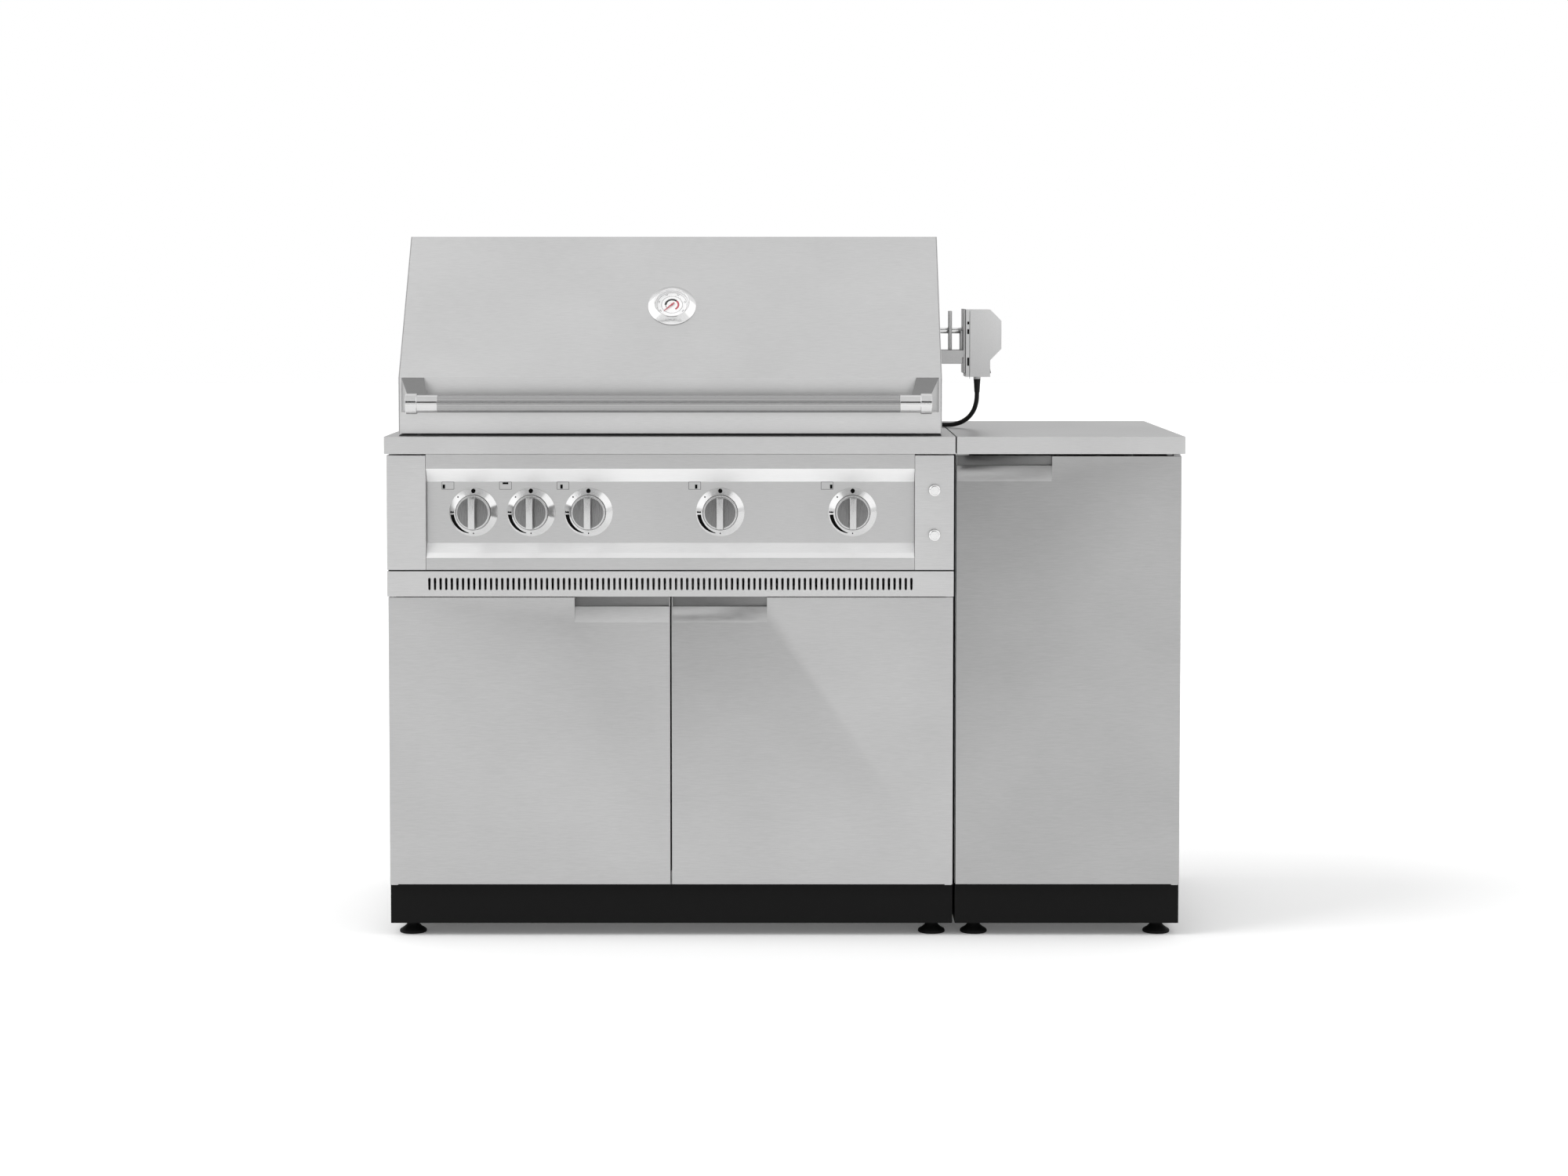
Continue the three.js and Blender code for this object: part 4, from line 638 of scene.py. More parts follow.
for node in ("grill_worktop", "side_worktop"):
    worktop = dress(node, STEEL, "cabinet", 0.6)
    # Painted shade: the upper faces get the darker door steel.
    paint_faces(worktop, STEEL_DOOR, lambda normal, centre: normal.z > 0.9)
for node in ("left_stile", "right_stile"):
    dress(node, STEEL, "cabinet", 0.6)
dress("hood_skin", STEEL_HOOD, "hood", 0.5, 3)
for node in ("hood_side_left", "hood_side_right"):
    dress(node, STEEL_SIDE, "hood", 0.4)
for body in ("left_door", "right_door", "side_door"):
    sheet = STEEL_SIDE_DOOR if body == "side_door" else STEEL_DOOR
    door = dress(body, sheet, body, 0.5)
    door_low, door_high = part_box(body)
    pocket_front = door_low[1] + PULL_DEPTH * MM
    pocket_bottom = door_high[2] - PULL_HEIGHT * MM
    # Painted light on the pull's slope, and painted shade on its deep face.
    paint_faces(door, STEEL, lambda normal, centre: normal.y < -0.9 and 0.1 < normal.z < 0.5)
    paint_faces(
        door,
        STEEL_SHADED,
        lambda normal, centre: normal.y < -0.9 and centre.y > pocket_front and centre.z > pocket_bottom,
    )

# %% [markdown]
# Pieces that stay as they came from CAD only get a better finish. The end panels and the hood's sides face
# left and right, so their grain runs from front to back.

# %% Finishes for the CAD pieces that stay
KEPT = [
    (STEEL_SIDE, ["grill_side_left", "grill_side_right", "side_panel_left", "side_panel_right"]),
    (STEEL, ["grill_back", "side_back"]),
    (STEEL_INNER, ["grill_floor", "side_floor", "side_shelf", "fire_box", "grease_funnel", "drip_tray"]),
    (STEEL_INNER, ["left_door_liner", "right_door_liner", "side_door_liner"]),
    (STEEL_INNER, [f"flame_tamer_{number}" for number in range(1, 5)]),
    (CAST_STEEL, ["rear_burner", "gas_manifold"]),
    (SWITCH_BLACK, ["motor_switch"]),
    (DIAL_WHITE, ["gauge_dial"]),
    (GLASS, ["gauge_glass"]),
]
for material, nodes in KEPT:
    for node in nodes:
        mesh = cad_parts[node].data
        mesh.materials.clear()
        mesh.materials.append(material)
print("kept CAD pieces:", sum(len(nodes) for material, nodes in KEPT))

# %% [markdown]
# Heat has browned the fire box inside, where it faces the burners, and along its front wall. Its sides and
# back are still bright. A face looks inwards when its normal points to the middle of the box.

# %% Burnt steel in the fire box
FRONT_WALL = 60
fire_low, fire_high = (Vector(corner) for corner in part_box("fire_box"))
fire_middle = (fire_low + fire_high) / 2


def burnt(normal, centre):
    inwards = (centre - fire_middle).dot(normal) < 0
    return inwards or (normal.y < -0.5 and centre.y < fire_low.y + FRONT_WALL * MM)


paint_faces(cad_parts["fire_box"], STEEL_BURNT, burnt)

# %% [markdown]
# ## Base frames and feet
# Each cabinet stands on a black steel frame with four levelling feet. The frame is a box without a lid,
# whose bottom is folded inwards: a cube loses its top face, its bottom face is inset and opened, and a
# wall thickness closes the sheet. A foot is a turned part, so its outline is spun.

# %% Base frames and feet
BASE_FOLD = 62
BASE_BOTTOM = 22.6
FOOT_INSET = 36
FRAME_WALL = 1.5
FOOT_OUTLINE = [
    (0, 0),
    (23.6, 0),
    (24.5, 0.9),
    (24.5, 3.4),
    (23.4, 5.2),
    (16.5, 9.4),
    (12.2, 13.6),
    (10.9, 17),
    (10.6, 40),
    (0, 40),
]


def base_frame(node):
    low, high = (Vector(corner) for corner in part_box(node))
    low.z = BASE_BOTTOM * MM
    shape = block(low, high)
    shape.faces.ensure_lookup_table()
    lid = max(shape.faces, key=lambda face: face.calc_center_median().z)
    bottom = min(shape.faces, key=lambda face: face.calc_center_median().z)
    bmesh.ops.inset_individual(shape, faces=[bottom], thickness=BASE_FOLD * MM)
    bmesh.ops.delete(shape, geom=[lid, bottom], context="FACES_ONLY")
    piece = settle(shape, node + "_frame", BLACK_COAT, "cabinet", [node])
    round_edges(thicken(piece, FRAME_WALL), 0.6)
    feet = []
    for x in (low.x + FOOT_INSET * MM, high.x - FOOT_INSET * MM):
        for y in (low.y + FOOT_INSET * MM, high.y - FOOT_INSET * MM):
            feet.append(spun(FOOT_OUTLINE, UP, Vector((x, y, 0)), 48))
    settle(merged(*feet), node + "_feet", BLACK_COAT, "cabinet")


base_frame("grill_base")
base_frame("side_base")

# %% [markdown]
# ## Control panel
# One sheet is bent into a shallow trough, so that the knobs sit in a recess with a slope above and below.
# The outline is drawn as a line at each end, spanned by faces and given a wall. Its bends get a radius.
# The order in which the faces are made decides which of its two neighbours gives a bend its finish, so it
# is fixed: from the recess down, then from the top to the upper slope. Both slopes are painted lighter than
# the face as painted light, each with a steel of its own, and the last centimetre of the lower slope, where
# it bends over, is painted nearly white as a painted highlight. A black strip behind the gap under it is
# painted shade.

# %% Control panel
panel_low, panel_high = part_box("control_panel")
FACE_DEPTH = 40
KNOB_HEIGHT = 767.5
KNOB_PLACES = (-353, -250, -147, 89, 326)
LAST_BEND = 694
FIRST_SPAN = 3
SHEET = 1.5
PANEL_LINE = [
    (38, 873),
    (22, 873),
    (22, 846),
    (FACE_DEPTH, 822.8),
    (FACE_DEPTH, 712.2),
    (28.5, 695.6),
    (22, 686.4),
    (22, 665.3),
    (38, 665.3),
]

trough = bmesh.new()
left, right = (
    [trough.verts.new((x, *at(0, y, z).yz)) for y, z in PANEL_LINE] for x in (panel_low[0], panel_high[0])
)
spans = list(zip(left, left[1:], right[1:], right))
for span in spans[FIRST_SPAN:] + spans[:FIRST_SPAN]:
    trough.faces.new(span)
panel = settle(trough, "control_panel_sheet", STEEL_FRONT, "cabinet", ["control_panel"])
# Painted light: both slopes get lighter steels than the face, and the last bend a nearly white painted
# highlight.
paint_faces(panel, STEEL_PAINTED_LIGHT, lambda normal, centre: 0.1 < abs(normal.z) < 0.9)
paint_faces(panel, STEEL_PAINTED_LOWER_SLOPE_LIGHT, lambda normal, centre: 0.1 < normal.z < 0.9)
paint_faces(panel, STEEL_PAINTED_HIGHLIGHT, lambda normal, centre: 0.1 < normal.z < 0.9 and centre.z < LAST_BEND * MM)
round_edges(thicken(panel, SHEET), 0.9, 3, 20)
# Painted shade: a black strip behind the gap under the panel.
gap_shade = block(at(-504, 23.5, 663.1), at(504, 27, 665))
settle(gap_shade, "panel_gap_shade", RUBBER_AND_GAP_SHADE, "cabinet")

# %% [markdown]
# Round each knob lies a dished ring that carries the printed marks. It is turned, so it is spun from its
# cross section. Its grain is finer and its face brighter than the sheet's.

# %% Bezels
BEZEL_OUTER = 43.5
BEZEL_INNER = 31.8
BEZEL_RIM = 1.2
BEZEL_TOP = 9
BEZEL_OUTLINE = [
    (BEZEL_INNER, 0.1),
    (BEZEL_OUTER - 0.4, 0.1),
    (BEZEL_OUTER, 0.5),
    (BEZEL_OUTER - 0.1, BEZEL_RIM),
    (BEZEL_INNER + 0.6, BEZEL_TOP - 0.3),
    (BEZEL_INNER + 0.2, BEZEL_TOP),
    (BEZEL_INNER, BEZEL_TOP - 0.3),
    (BEZEL_INNER, 0.1),
]
for number, x in enumerate(KNOB_PLACES, 1):
    ring = spun(BEZEL_OUTLINE, FACE_FRONT, at(x, FACE_DEPTH, KNOB_HEIGHT), 96)
    settle(ring, f"bezel_{number}", STEEL_RING, "cabinet", sharp=25)

# %% [markdown]
# The marks are printed on the ring's slope: a dot for off at the top, a small dot for ignition, a row of
# flames at the left, and an arc that gets thinner towards the low setting at the bottom. Each is a flat
# shape that is drawn face-on and then laid on the cone by giving every vertex the cone's height at its
# radius.


# %% Marks on the bezels
PRINT_LIFT = 0.25


def cone_height(radius):
    share = (BEZEL_OUTER - 0.1 - radius) / (BEZEL_OUTER - BEZEL_INNER - 0.7)
    return BEZEL_RIM + share * (BEZEL_TOP - 0.3 - BEZEL_RIM)


def laid_on_cone(shape, x):
    for vertex in shape.verts:
        radius = math.hypot(vertex.co.x, vertex.co.y)
        vertex.co.z = cone_height(radius) + PRINT_LIFT
    matrix = Matrix.Translation(at(x, FACE_DEPTH, KNOB_HEIGHT)) @ FACE_FRONT @ Matrix.Scale(MM, 4)
    bmesh.ops.transform(shape, matrix=matrix, verts=shape.verts)
    return shape


def put_round(shape, turn, reach):
    """Splits a flat mark from its middle and moves it out to its place round the knob."""
    bmesh.ops.poke(shape, faces=shape.faces)
    bmesh.ops.translate(shape, vec=polar(reach, turn), verts=shape.verts)
    return shape


def dot(radius, turn, reach):
    shape = bmesh.new()
    bmesh.ops.create_circle(shape, cap_ends=True, segments=24, radius=radius)
    return put_round(shape, turn, reach)


def tapering_arc(start, end, thick, thin, reach):
    shape = bmesh.new()
    bmesh.ops.create_grid(shape, x_segments=40, y_segments=3, size=0.5)
    for vertex in shape.verts:
        share = vertex.co.x + 0.5
        width = thin + (1 - share**2) * (thick - thin)
        vertex.co = polar(reach - vertex.co.y * width, start + share * (end - start))
    return shape


def flame(turn, height=3.6, width=2.5, reach=38):
    shape = bmesh.new()
    bmesh.ops.create_circle(shape, cap_ends=True, segments=12, radius=width / 2)
    for vertex in shape.verts:
        if vertex.co.y > 0:
            vertex.co.y *= 2 * height / width - 1
            vertex.co.x *= 0.8
    return put_round(shape, turn, reach)


for number, x in enumerate(KNOB_PLACES, 1):
    flames = [flame(180, reach=reach) for reach in (35.8, 38.3, 40.8)]
    dots = [dot(3.9, 90, 38.6), dot(1.3, 135, 39)]
    settings = [tapering_arc(186, 257, 6.6, 0.8, 38.2), flame(270, 3, 2.2, 38)]
    shape = merged(*[laid_on_cone(mark, x) for mark in dots + settings + flames])
    bmesh.ops.recalc_face_normals(shape, faces=shape.faces)
    settle(shape, f"knob_marks_{number}", PRINT_AND_SHADE_BLACK, "cabinet")

# %% [markdown]
# Above and left of each knob a little framed sign shows which burner it feeds. The frame is a thin
# outline, and a short bar inside it stands at the burner's place.

# %% Burner signs
SIGN_OFFSET = (-45.8, 47.6)
SIGN_SIZE = (21.4, 13.3)
SIGN_LINE = 0.8
SIGN_SKIN = 0.12
SIGN_BARS = [
    (-7.4, -1.7, 4.4, 7.4),
    (0, 4.2, 10.4, 3.4),
    (-2.6, -1.7, 4.4, 7.4),
    (2.6, -1.7, 4.4, 7.4),
    (7.4, -1.7, 4.4, 7.4),
]


def printed_patch(x, z, width, height):
    low = at(x - width / 2, FACE_DEPTH - SIGN_SKIN, z - height / 2)
    high = at(x + width / 2, FACE_DEPTH + SIGN_SKIN, z + height / 2)
    return block(low, high)


for number, (x, bar) in enumerate(zip(KNOB_PLACES, SIGN_BARS), 1):
    middle_x = x + SIGN_OFFSET[0]
    middle_z = KNOB_HEIGHT + SIGN_OFFSET[1]
    width, height = SIGN_SIZE
    sides = [
        printed_patch(middle_x, middle_z + height / 2, width, SIGN_LINE),
        printed_patch(middle_x, middle_z - height / 2, width, SIGN_LINE),
        printed_patch(middle_x - width / 2, middle_z, SIGN_LINE, height),
        printed_patch(middle_x + width / 2, middle_z, SIGN_LINE, height),
    ]
    settle(merged(*sides), f"sign_frame_{number}", PRINT_GREY, "cabinet")
    bar_x, bar_z, bar_width, bar_height = bar
    burner = printed_patch(middle_x + bar_x, middle_z + bar_z, bar_width, bar_height)
    settle(burner, f"sign_burner_{number}", PRINT_AND_SHADE_BLACK, "cabinet")

# %% [markdown]
# ## Knobs
# A knob is a turned disc with a rounded rim and a bar across it for the fingers. The disc is spun. The bar
# is a cube that gets its taper by moving its front corners, and its edges are rounded. The disc's face is
# turned on a lathe and painted darker, a painted reflection of the dark in front of it. The bar's front
# gets a lighter steel and its flanks are painted darker as painted shade. The disc's rounded rim is a
# painted highlight, and its side is painted light.

# %% Knobs
KNOB_OUTLINE = [
    (0, 2.6),
    (29.4, 2.6),
    (30.4, 3.6),
    (30.4, 16.6),
    (30.1, 18.2),
    (29.2, 19.2),
    (27.6, 19.5),
    (0, 19.5),
]
GRIP_WIDTH = 14.6
GRIP_FRONT = 45.5
GRIP_BACK = 18
GRIP_REACH = 28.2
GRIP_TAPER = 1.4
GRIP_END_TAPER = 0.5
GRIP_ROUNDING = 1.1


def knob_grip(x):
    low = at(x - GRIP_WIDTH / 2, FACE_DEPTH - GRIP_FRONT, KNOB_HEIGHT - GRIP_REACH)
    high = at(x + GRIP_WIDTH / 2, FACE_DEPTH - GRIP_BACK, KNOB_HEIGHT + GRIP_REACH)
    shape = block(low, high)
    for vertex in shape.verts:
        if vertex.co.y < (low.y + high.y) / 2:
            vertex.co.x += math.copysign(GRIP_TAPER * MM, (low.x + high.x) / 2 - vertex.co.x)
            vertex.co.z += math.copysign(GRIP_END_TAPER * MM, KNOB_HEIGHT * MM - vertex.co.z)
    rounding = GRIP_ROUNDING * MM
    bmesh.ops.bevel(
        shape, geom=shape.edges, offset=rounding, segments=3, profile=0.5, affect="EDGES", material=-1
    )
    return shape


for number, x in enumerate(KNOB_PLACES, 1):
    disc = spun(KNOB_OUTLINE, FACE_FRONT, at(x, FACE_DEPTH, KNOB_HEIGHT), 96)
    node = f"knob_{number}"
    # The disc's face is painted darker: a painted reflection of the dark in front of it.
    turned_disc = settle(disc, node + "_finish", STEEL_DISC, node, [node], 25)
    # Painted light: the disc's side is painted light, and its rounded rim is a painted highlight.
    paint_faces(turned_disc, STEEL_PAINTED_LIGHT, lambda normal, centre: abs(normal.y) < 0.5)
    paint_faces(turned_disc, STEEL_GRIP, lambda normal, centre: -0.995 < normal.y < -0.5)
    grip = settle(knob_grip(x), node + "_grip", STEEL_GRIP, node, sharp=25)
    # Painted shade: the bar's flanks get a darker steel.
    paint_faces(grip, STEEL_SHADED, lambda normal, centre: abs(normal.x) > 0.9)

# %% [markdown]
# ## Push buttons
# Two small domed buttons on the right stile switch the igniter and the lamp. They are turned as well, with
# a fine ring round them that the photograph shows as a bright and dark rim.

# %% Push buttons
STILE_DEPTH = 22
BUTTON_OUTLINE = [
    (0, -17),
    (6, -17),
    (6, 3.4),
    (10, 3.4),
    (10.5, 3.9),
    (10.5, 6.6),
    (10.1, 7.9),
    (8.8, 8.8),
    (7.4, 9.1),
    (7, 8.5),
    (0, 8.5),
]
for node in ("upper_button", "lower_button"):
    low, high = (Vector(corner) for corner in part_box(node))
    middle = (low + high) / 2
    place = Vector((middle.x, WORKTOP_FRONT + STILE_DEPTH * MM, middle.z))
    button = spun(BUTTON_OUTLINE, FACE_FRONT, place, 48)
    settle(button, node + "_finish", STEEL_POLISHED, node, [node], 25)

# %% [markdown]
# ## Slotted vent strip
# Eighty-seven round-ended slots let heat out under the control panel. One cell is made with operators: a
# circle whose halves are pulled apart, in a rectangle, filled between. Copies of the cell side by side
# make the strip, and a wall gives it thickness. A small plate closes each end.

# %% Vent strip
vent_low, vent_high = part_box("vent_panel")
SLOT_PITCH = 10.02
SLOT_COUNT = 87
SLOT_WIDTH = 4.6
SLOT_HEIGHT = 22
VENT_TOP = 662.8
VENT_BOTTOM = 617.5
VENT_DEPTH = 22
END_INSET = 0.4 * MM
SAME_PLACE = 1e-5


def slot_cell(x):
    shape = bmesh.new()
    bmesh.ops.create_circle(shape, segments=12, radius=SLOT_WIDTH / 2)
    for vertex in shape.verts:
        vertex.co.y += math.copysign((SLOT_HEIGHT - SLOT_WIDTH) / 2, vertex.co.y)
    border = bmesh.ops.create_grid(shape, x_segments=1, y_segments=1, size=0.5)["verts"]
    border_faces = list({face for vertex in border for face in vertex.link_faces})
    bmesh.ops.delete(shape, geom=border_faces, context="FACES_ONLY")
    bmesh.ops.scale(shape, vec=(SLOT_PITCH, VENT_TOP - VENT_BOTTOM, 1), verts=border)
    bmesh.ops.triangle_fill(shape, use_beauty=True, use_dissolve=False, edges=shape.edges)
    place = at(x, VENT_DEPTH, (VENT_TOP + VENT_BOTTOM) / 2)
    matrix = Matrix.Translation(place) @ FACE_FRONT @ Matrix.Scale(MM, 4)
    bmesh.ops.transform(shape, matrix=matrix, verts=shape.verts)
    return shape


def on_level(edge, level):
    return all(abs(vertex.co.z - level * MM) < SAME_PLACE for vertex in edge.verts)


cells = [slot_cell((i - (SLOT_COUNT - 1) / 2) * SLOT_PITCH) for i in range(SLOT_COUNT)]
strip = merged(*cells)
bmesh.ops.remove_doubles(strip, verts=strip.verts, dist=2 * SAME_PLACE)
for end, sign in ((vent_low[0], -1), (vent_high[0], 1)):
    limit = max(sign * v.co.x for v in strip.verts)
    rim = [e for e in strip.edges if all(sign * v.co.x > limit - SAME_PLACE for v in e.verts)]
    grown = bmesh.ops.extrude_edge_only(strip, edges=rim)["geom"]
    for vertex in only_vertices(grown):
        vertex.co.x = end
turn_to_front(strip)
fold_edges = [
    edge
    for edge in strip.edges
    if edge.is_boundary and (on_level(edge, VENT_TOP) or on_level(edge, VENT_BOTTOM))
]
folded = bmesh.ops.extrude_edge_only(strip, edges=fold_edges)["geom"]
bmesh.ops.translate(strip, vec=(0, vent_high[1] - vent_low[1], 0), verts=only_vertices(folded))
turn_to_front(strip)
vent = settle(strip, "vent_strip", STEEL, "cabinet", ["vent_panel"])
vent.data.shade_flat()
thicken(vent, SHEET)

ends = []
for start in (vent_low[0] + END_INSET, vent_high[0] - END_INSET - SHEET * MM):
    low = (start, vent_low[1] + END_INSET, VENT_BOTTOM * MM + END_INSET)
    high = (start + SHEET * MM, vent_high[1] - END_INSET, VENT_TOP * MM - END_INSET)
    ends.append(block(low, high))
settle(merged(*ends), "vent_ends", STEEL_SIDE, "cabinet")
print("vent faces:", len(vent.data.polygons))

# %% [markdown]
# ## Handle
# The handle is a steel tube with a finely knurled grip between two polished sleeves. Its ends sit in round
# caps on tapered brackets. Tube, sleeves and caps are spun about the tube's axis.

# %% Handle
HANDLE_RADIUS = 15.8
HANDLE_DEPTH = -30
HANDLE_HEIGHT = 964.8
GRIP_END = 408
TUBE_END = 455
CAP_RADIUS = 18.5
CAP_INNER = 444
CAP_OUTER = 464


def handle_part(radius, start, end, rounding):
    outline = [
        (0, start),
        (radius - rounding, start),
        (radius, start + rounding),
        (radius, end - rounding),
        (radius - rounding, end),
        (0, end),
    ]
    return spun(outline, FACE_RIGHT, at(0, HANDLE_DEPTH, HANDLE_HEIGHT), 64)


grip_tube = handle_part(HANDLE_RADIUS - 0.2, -GRIP_END - 1, GRIP_END + 1, 0.2)
settle(grip_tube, "handle_grip", KNURLED, "hood", ["handle_tube"], 30)
sleeves = merged(
    handle_part(HANDLE_RADIUS, -TUBE_END, -GRIP_END, 0.4),
    handle_part(HANDLE_RADIUS, GRIP_END, TUBE_END, 0.4),
)
settle(sleeves, "handle_sleeves", STEEL_SLEEVE, "hood", sharp=30)
for side, sign in (("left", -1), ("right", 1)):
    start, end = sorted((sign * CAP_INNER, sign * CAP_OUTER))
    cap = handle_part(CAP_RADIUS, start, end, 0.8)
    settle(cap, f"handle_cap_{side}", STEEL_SLEEVE, "hood", sharp=30)

# %% [markdown]
# A bracket is a short arm that is broad where it meets the hood and narrow at the tube. The cube's front
# corners are drawn in towards the cap.

# %% Handle brackets
HOOD_FACE = 30
BRACKET_ROOT = (439, 480, 947, 1009.2)
BRACKET_TIP = (427, 459.5, 955.5, 974)


def bracket_arm(sign):
    shape = bmesh.new()
    bmesh.ops.create_cube(shape, size=1)
    for vertex in shape.verts:
        x0, x1, z0, z1 = BRACKET_ROOT if vertex.co.y > 0 else BRACKET_TIP
        depth = HOOD_FACE - 0.3 if vertex.co.y > 0 else HANDLE_DEPTH
        x = x1 if vertex.co.x * sign > 0 else x0
        z = z1 if vertex.co.z > 0 else z0
        vertex.co = at(sign * x, depth, z)
    bmesh.ops.recalc_face_normals(shape, faces=shape.faces)
    return shape


for side, sign in (("left", -1), ("right", 1)):
    stands_for = [f"handle_bracket_{side}"]
    arm = settle(bracket_arm(sign), f"handle_arm_{side}", STEEL, "hood", stands_for)
    # Painted shade: the arm's flanks get a darker steel and its top a darker one still.
    paint_faces(arm, STEEL_SIDE_DOOR, lambda normal, centre: abs(normal.x) > 0.5)
    paint_faces(arm, STEEL_SHADED, lambda normal, centre: normal.z > 0.5)
    round_edges(arm, 0.8, 3)

# %% [markdown]
# ## Thermometer
# The gauge leans with the hood's slope, so its frame is turned once and every part is spun in that frame:
# a broad dished bezel whose inner wall is painted the dial's white as painted light, a white dial, a
# printed scale, a slim red pointer, and the glass.

# %% Thermometer frame
SLOPE_FOOT = (30, 1009.5)
SLOPE_HEAD = (225, 1263)
gauge_place = at(0, (SLOPE_FOOT[0] + SLOPE_HEAD[0]) / 2, (SLOPE_FOOT[1] + SLOPE_HEAD[1]) / 2)
slope_angle = math.atan2(SLOPE_HEAD[1] - SLOPE_FOOT[1], SLOPE_HEAD[0] - SLOPE_FOOT[0])
gauge_turn = Matrix.Rotation(slope_angle, 4, "X")
DIAL_FRAME = Matrix.Translation(gauge_place) @ gauge_turn @ Matrix.Scale(MM, 4)
DIAL_TOP = 3.3
DIAL_LIFT = 0.15
WINDOW = 30.5

GAUGE_OUTLINE = [
    (0, 0.4),
    (43.2, 0.4),
    (43.5, 0.8),
    (43.3, 1.5),
    (33.2, 10.4),
    (32.2, 10.9),
    (31.2, 10.9),
    (WINDOW, 10.2),
    (WINDOW, 1.9),
    (0, 1.9),
]
bezel = spun(GAUGE_OUTLINE, gauge_turn, gauge_place, 96)
dish = settle(bezel, "gauge_bezel_finish", STEEL_POLISHED, "hood", ["gauge_bezel"], 25)
gauge_axis = gauge_turn.to_3x3() @ Vector(Z_AXIS)


def cup_wall(normal, centre):
    across = (centre - gauge_place).cross(gauge_axis).length
    return across < (WINDOW + 0.1) * MM and abs(normal.dot(gauge_axis)) < 0.5


# Painted light: the bezel's inner wall gets the dial's white.
paint_faces(dish, DIAL_WHITE, cup_wall)


def on_dial(shape):
    """Lays a flat print, drawn in millimetres face-on, on the dial."""
    for vertex in shape.verts:
        vertex.co.z = DIAL_TOP + DIAL_LIFT
    bmesh.ops.transform(shape, matrix=DIAL_FRAME, verts=shape.verts)
    return shape


def band(start, end, radius, width, steps):
    shape = bmesh.new()
    bmesh.ops.create_grid(shape, x_segments=steps, y_segments=1, size=0.5)
    for vertex in shape.verts:
        clockwise = start + (vertex.co.x + 0.5) * (end - start)
        vertex.co = polar(radius - vertex.co.y * width, 90 - clockwise)
    return shape


# %% Thermometer needle
NEEDLE_LEVEL = 4.4
NEEDLE_THICKNESS = 0.7
NEEDLE_REST = 135
needle = bmesh.new()
needle_line = [(-0.4, 20.5), (-1.5, 1), (-1.2, -5.5), (1.2, -5.5), (1.5, 1), (0.4, 20.5)]
blade = needle.faces.new([needle.verts.new((across, along, 0)) for across, along in needle_line])
raised = bmesh.ops.extrude_face_region(needle, geom=[blade])["geom"]
bmesh.ops.translate(needle, vec=(0, 0, NEEDLE_THICKNESS), verts=only_vertices(raised))
bmesh.ops.create_cone(needle, cap_ends=True, segments=24, radius1=2, radius2=1.8, depth=1.6)
bmesh.ops.recalc_face_normals(needle, faces=needle.faces)
needle_turn = Matrix.Translation((0, 0, NEEDLE_LEVEL)) @ Matrix.Rotation(math.radians(NEEDLE_REST), 4, "Z")
bmesh.ops.transform(needle, matrix=DIAL_FRAME @ needle_turn, verts=needle.verts)
settle(needle, "needle_finish", PRINT_RED, "needle", ["gauge_needle"])

# %% Thermometer scale
SCALE_START = -135
SCALE_END = 135
TICKS = 27
SCALE_RADIUS = 11.6
black_band = on_dial(band(-92, 43, SCALE_RADIUS, 3.9, 40))
settle(black_band, "dial_band_black", PRINT_AND_SHADE_BLACK, "hood")
red_band = on_dial(band(43, 148, SCALE_RADIUS, 3.3, 30))
settle(red_band, "dial_band_red", PRINT_RED, "hood")
rings = [on_dial(band(-180, 180, 19, 0.5, 90)), on_dial(band(-180, 180, 27.2, 0.5, 120))]
ticks = [on_dial(band(-125, -92, SCALE_RADIUS, 1.2, 10))]
for step in range(TICKS + 1):
    angle = SCALE_START + step * (SCALE_END - SCALE_START) / TICKS
    length = 1.9 if step % 3 == 0 else 1
    ticks.append(on_dial(band(angle - 0.6, angle + 0.6, 19.2 + length / 2, length, 1)))
scale = merged(*rings, *ticks)
settle(scale, "dial_ticks", PRINT_GREY, "hood")


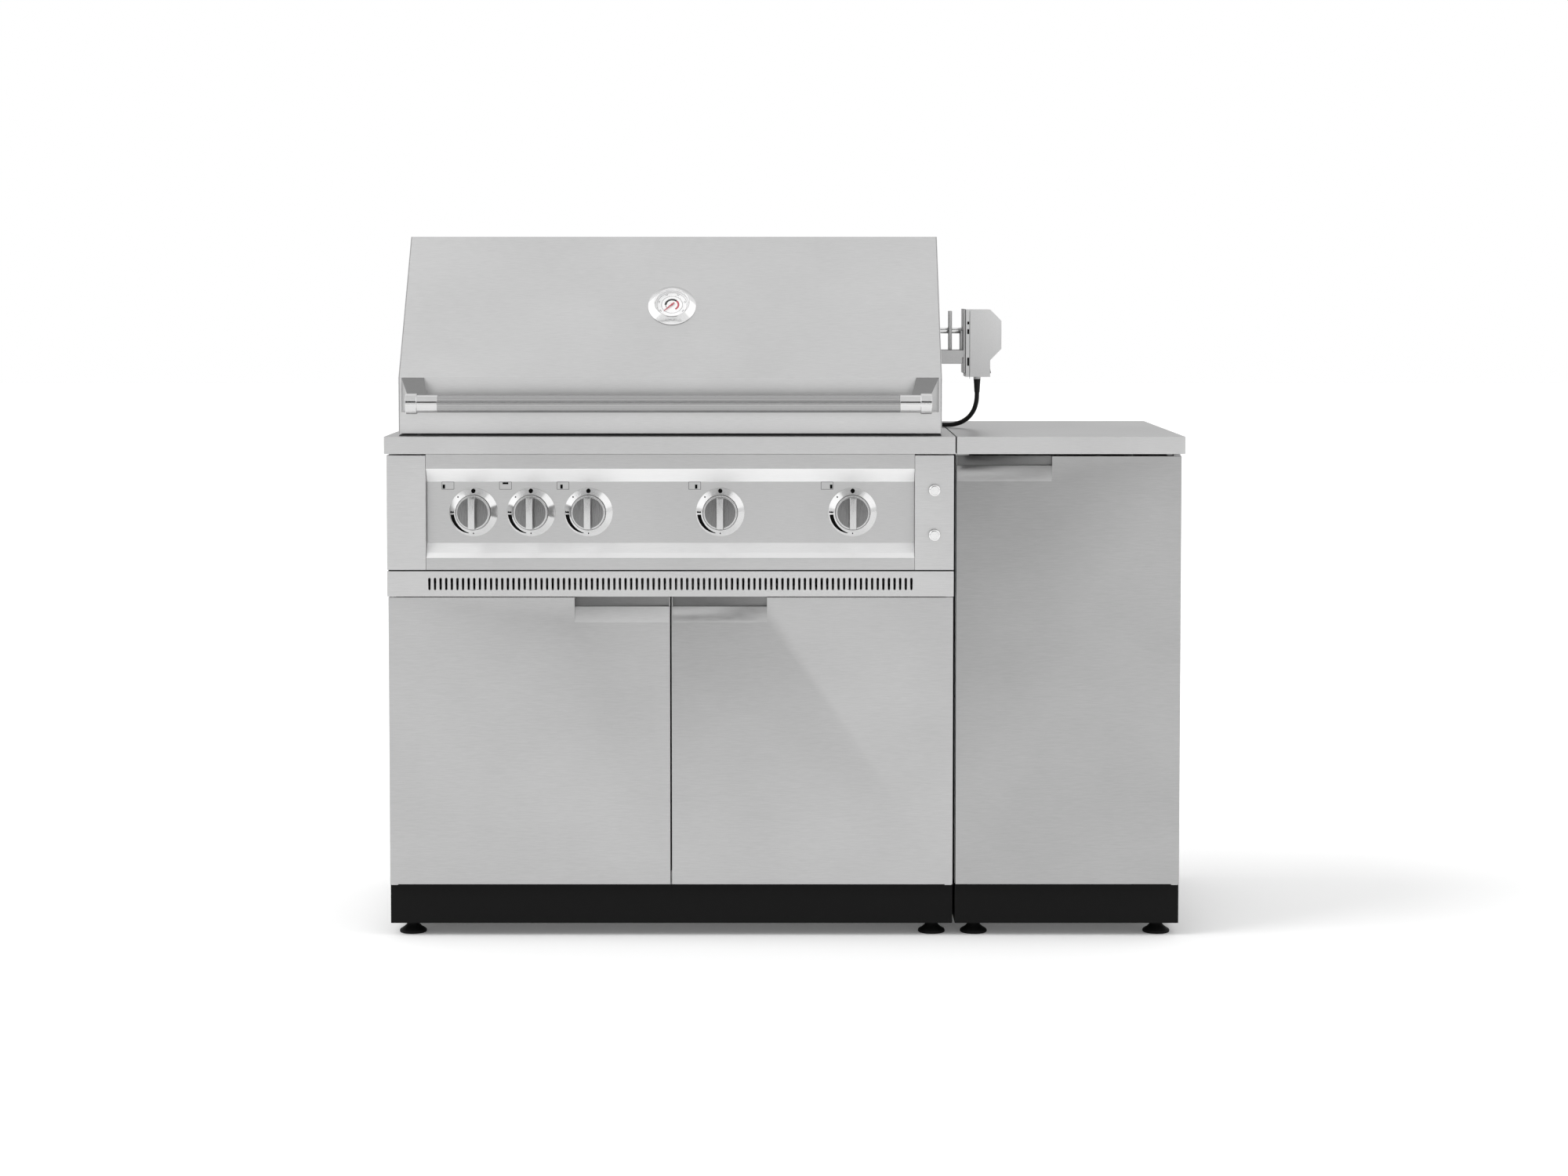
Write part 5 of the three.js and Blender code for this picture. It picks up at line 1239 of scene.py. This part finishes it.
def dial_number(words, angle, radius, size):
    text = bpy.data.curves.new("dial_number", "FONT")
    text.body = words
    text.size = size
    text.align_x = "CENTER"
    text.align_y = "CENTER"
    holder = bpy.data.objects.new("dial_number", text)
    mesh = holder.to_mesh()
    shape = bmesh.new()
    shape.from_mesh(mesh)
    holder.to_mesh_clear()
    bpy.data.objects.remove(holder)
    bpy.data.curves.remove(text)
    upright = Matrix.Rotation(-math.radians(angle), 4, "Z")
    matrix = Matrix.Translation(polar(radius, 90 - angle)) @ upright
    bmesh.ops.transform(shape, matrix=matrix, verts=shape.verts)
    return on_dial(shape)


NUMBERS = 6
NUMBER_STEP = 49.8
NUMBER_RADIUS = 24
NUMBER_SIZE = 3.4
numbers = []
for i in range(NUMBERS):
    angle = (i - (NUMBERS - 1) / 2) * NUMBER_STEP
    numbers.append(dial_number(str(100 * (i + 1)), angle, NUMBER_RADIUS, NUMBER_SIZE))
settle(merged(*numbers), "dial_numbers", PRINT_GREY, "hood")

# %% [markdown]
# ## Rotisserie
# The motor sits on an angle bracket behind the hood's right edge. Both are castings and thick sheet with
# clearly rounded edges, which are painted a darker grey as painted shade. The motor's case has cooling
# slots beside its mounting plate, drawn as black blocks on its face as painted shade for the openings,
# with a thin black line for a seam, and the spit is a bright bar.

# %% Rotisserie
bracket = dress("rotisserie_bracket", SILVER_PLATE, "cabinet", 0.7, 2)
motor = dress("rotisserie_motor", SILVER_COAT, "cabinet", 0.9, 2)
# Painted shade: the rounded edges get the darker grey.
for casting in (bracket, motor):
    paint_bevel(casting, SILVER_SHADED_EDGE)
dress("spit", STEEL_POLISHED, "spit", 0.3, 2, 40, 70)

# Painted shade: black blocks stand for the slot openings, beside a black seam line.
MOTOR_SLOTS = ((1024, 1039), (1083, 1092), (1101, 1106))
slots = [block(at(544.2, 259.6, low_z), at(547.6, 260.4, high_z)) for low_z, high_z in MOTOR_SLOTS]
seam = block(at(548.4, 259.7, 1000), at(549, 260.3, 1126))
settle(merged(*slots, seam), "motor_slots", PRINT_AND_SHADE_BLACK, "cabinet")

# %% [markdown]
# ## Under the hood
# With the hood up, the grates and burners show. Their CAD bars have six or twelve sides, which smooth
# shading turns into round bars at this size, so they are copied and shaded rather than rebuilt.

# %% Grates and burners
for number in range(1, 5):
    dress(f"grate_{number}", STEEL_POLISHED, "cabinet", 0.3, 1, 70, 65)
dress("burners", STEEL_INNER, "cabinet", 0.3, 1, 70, 40)
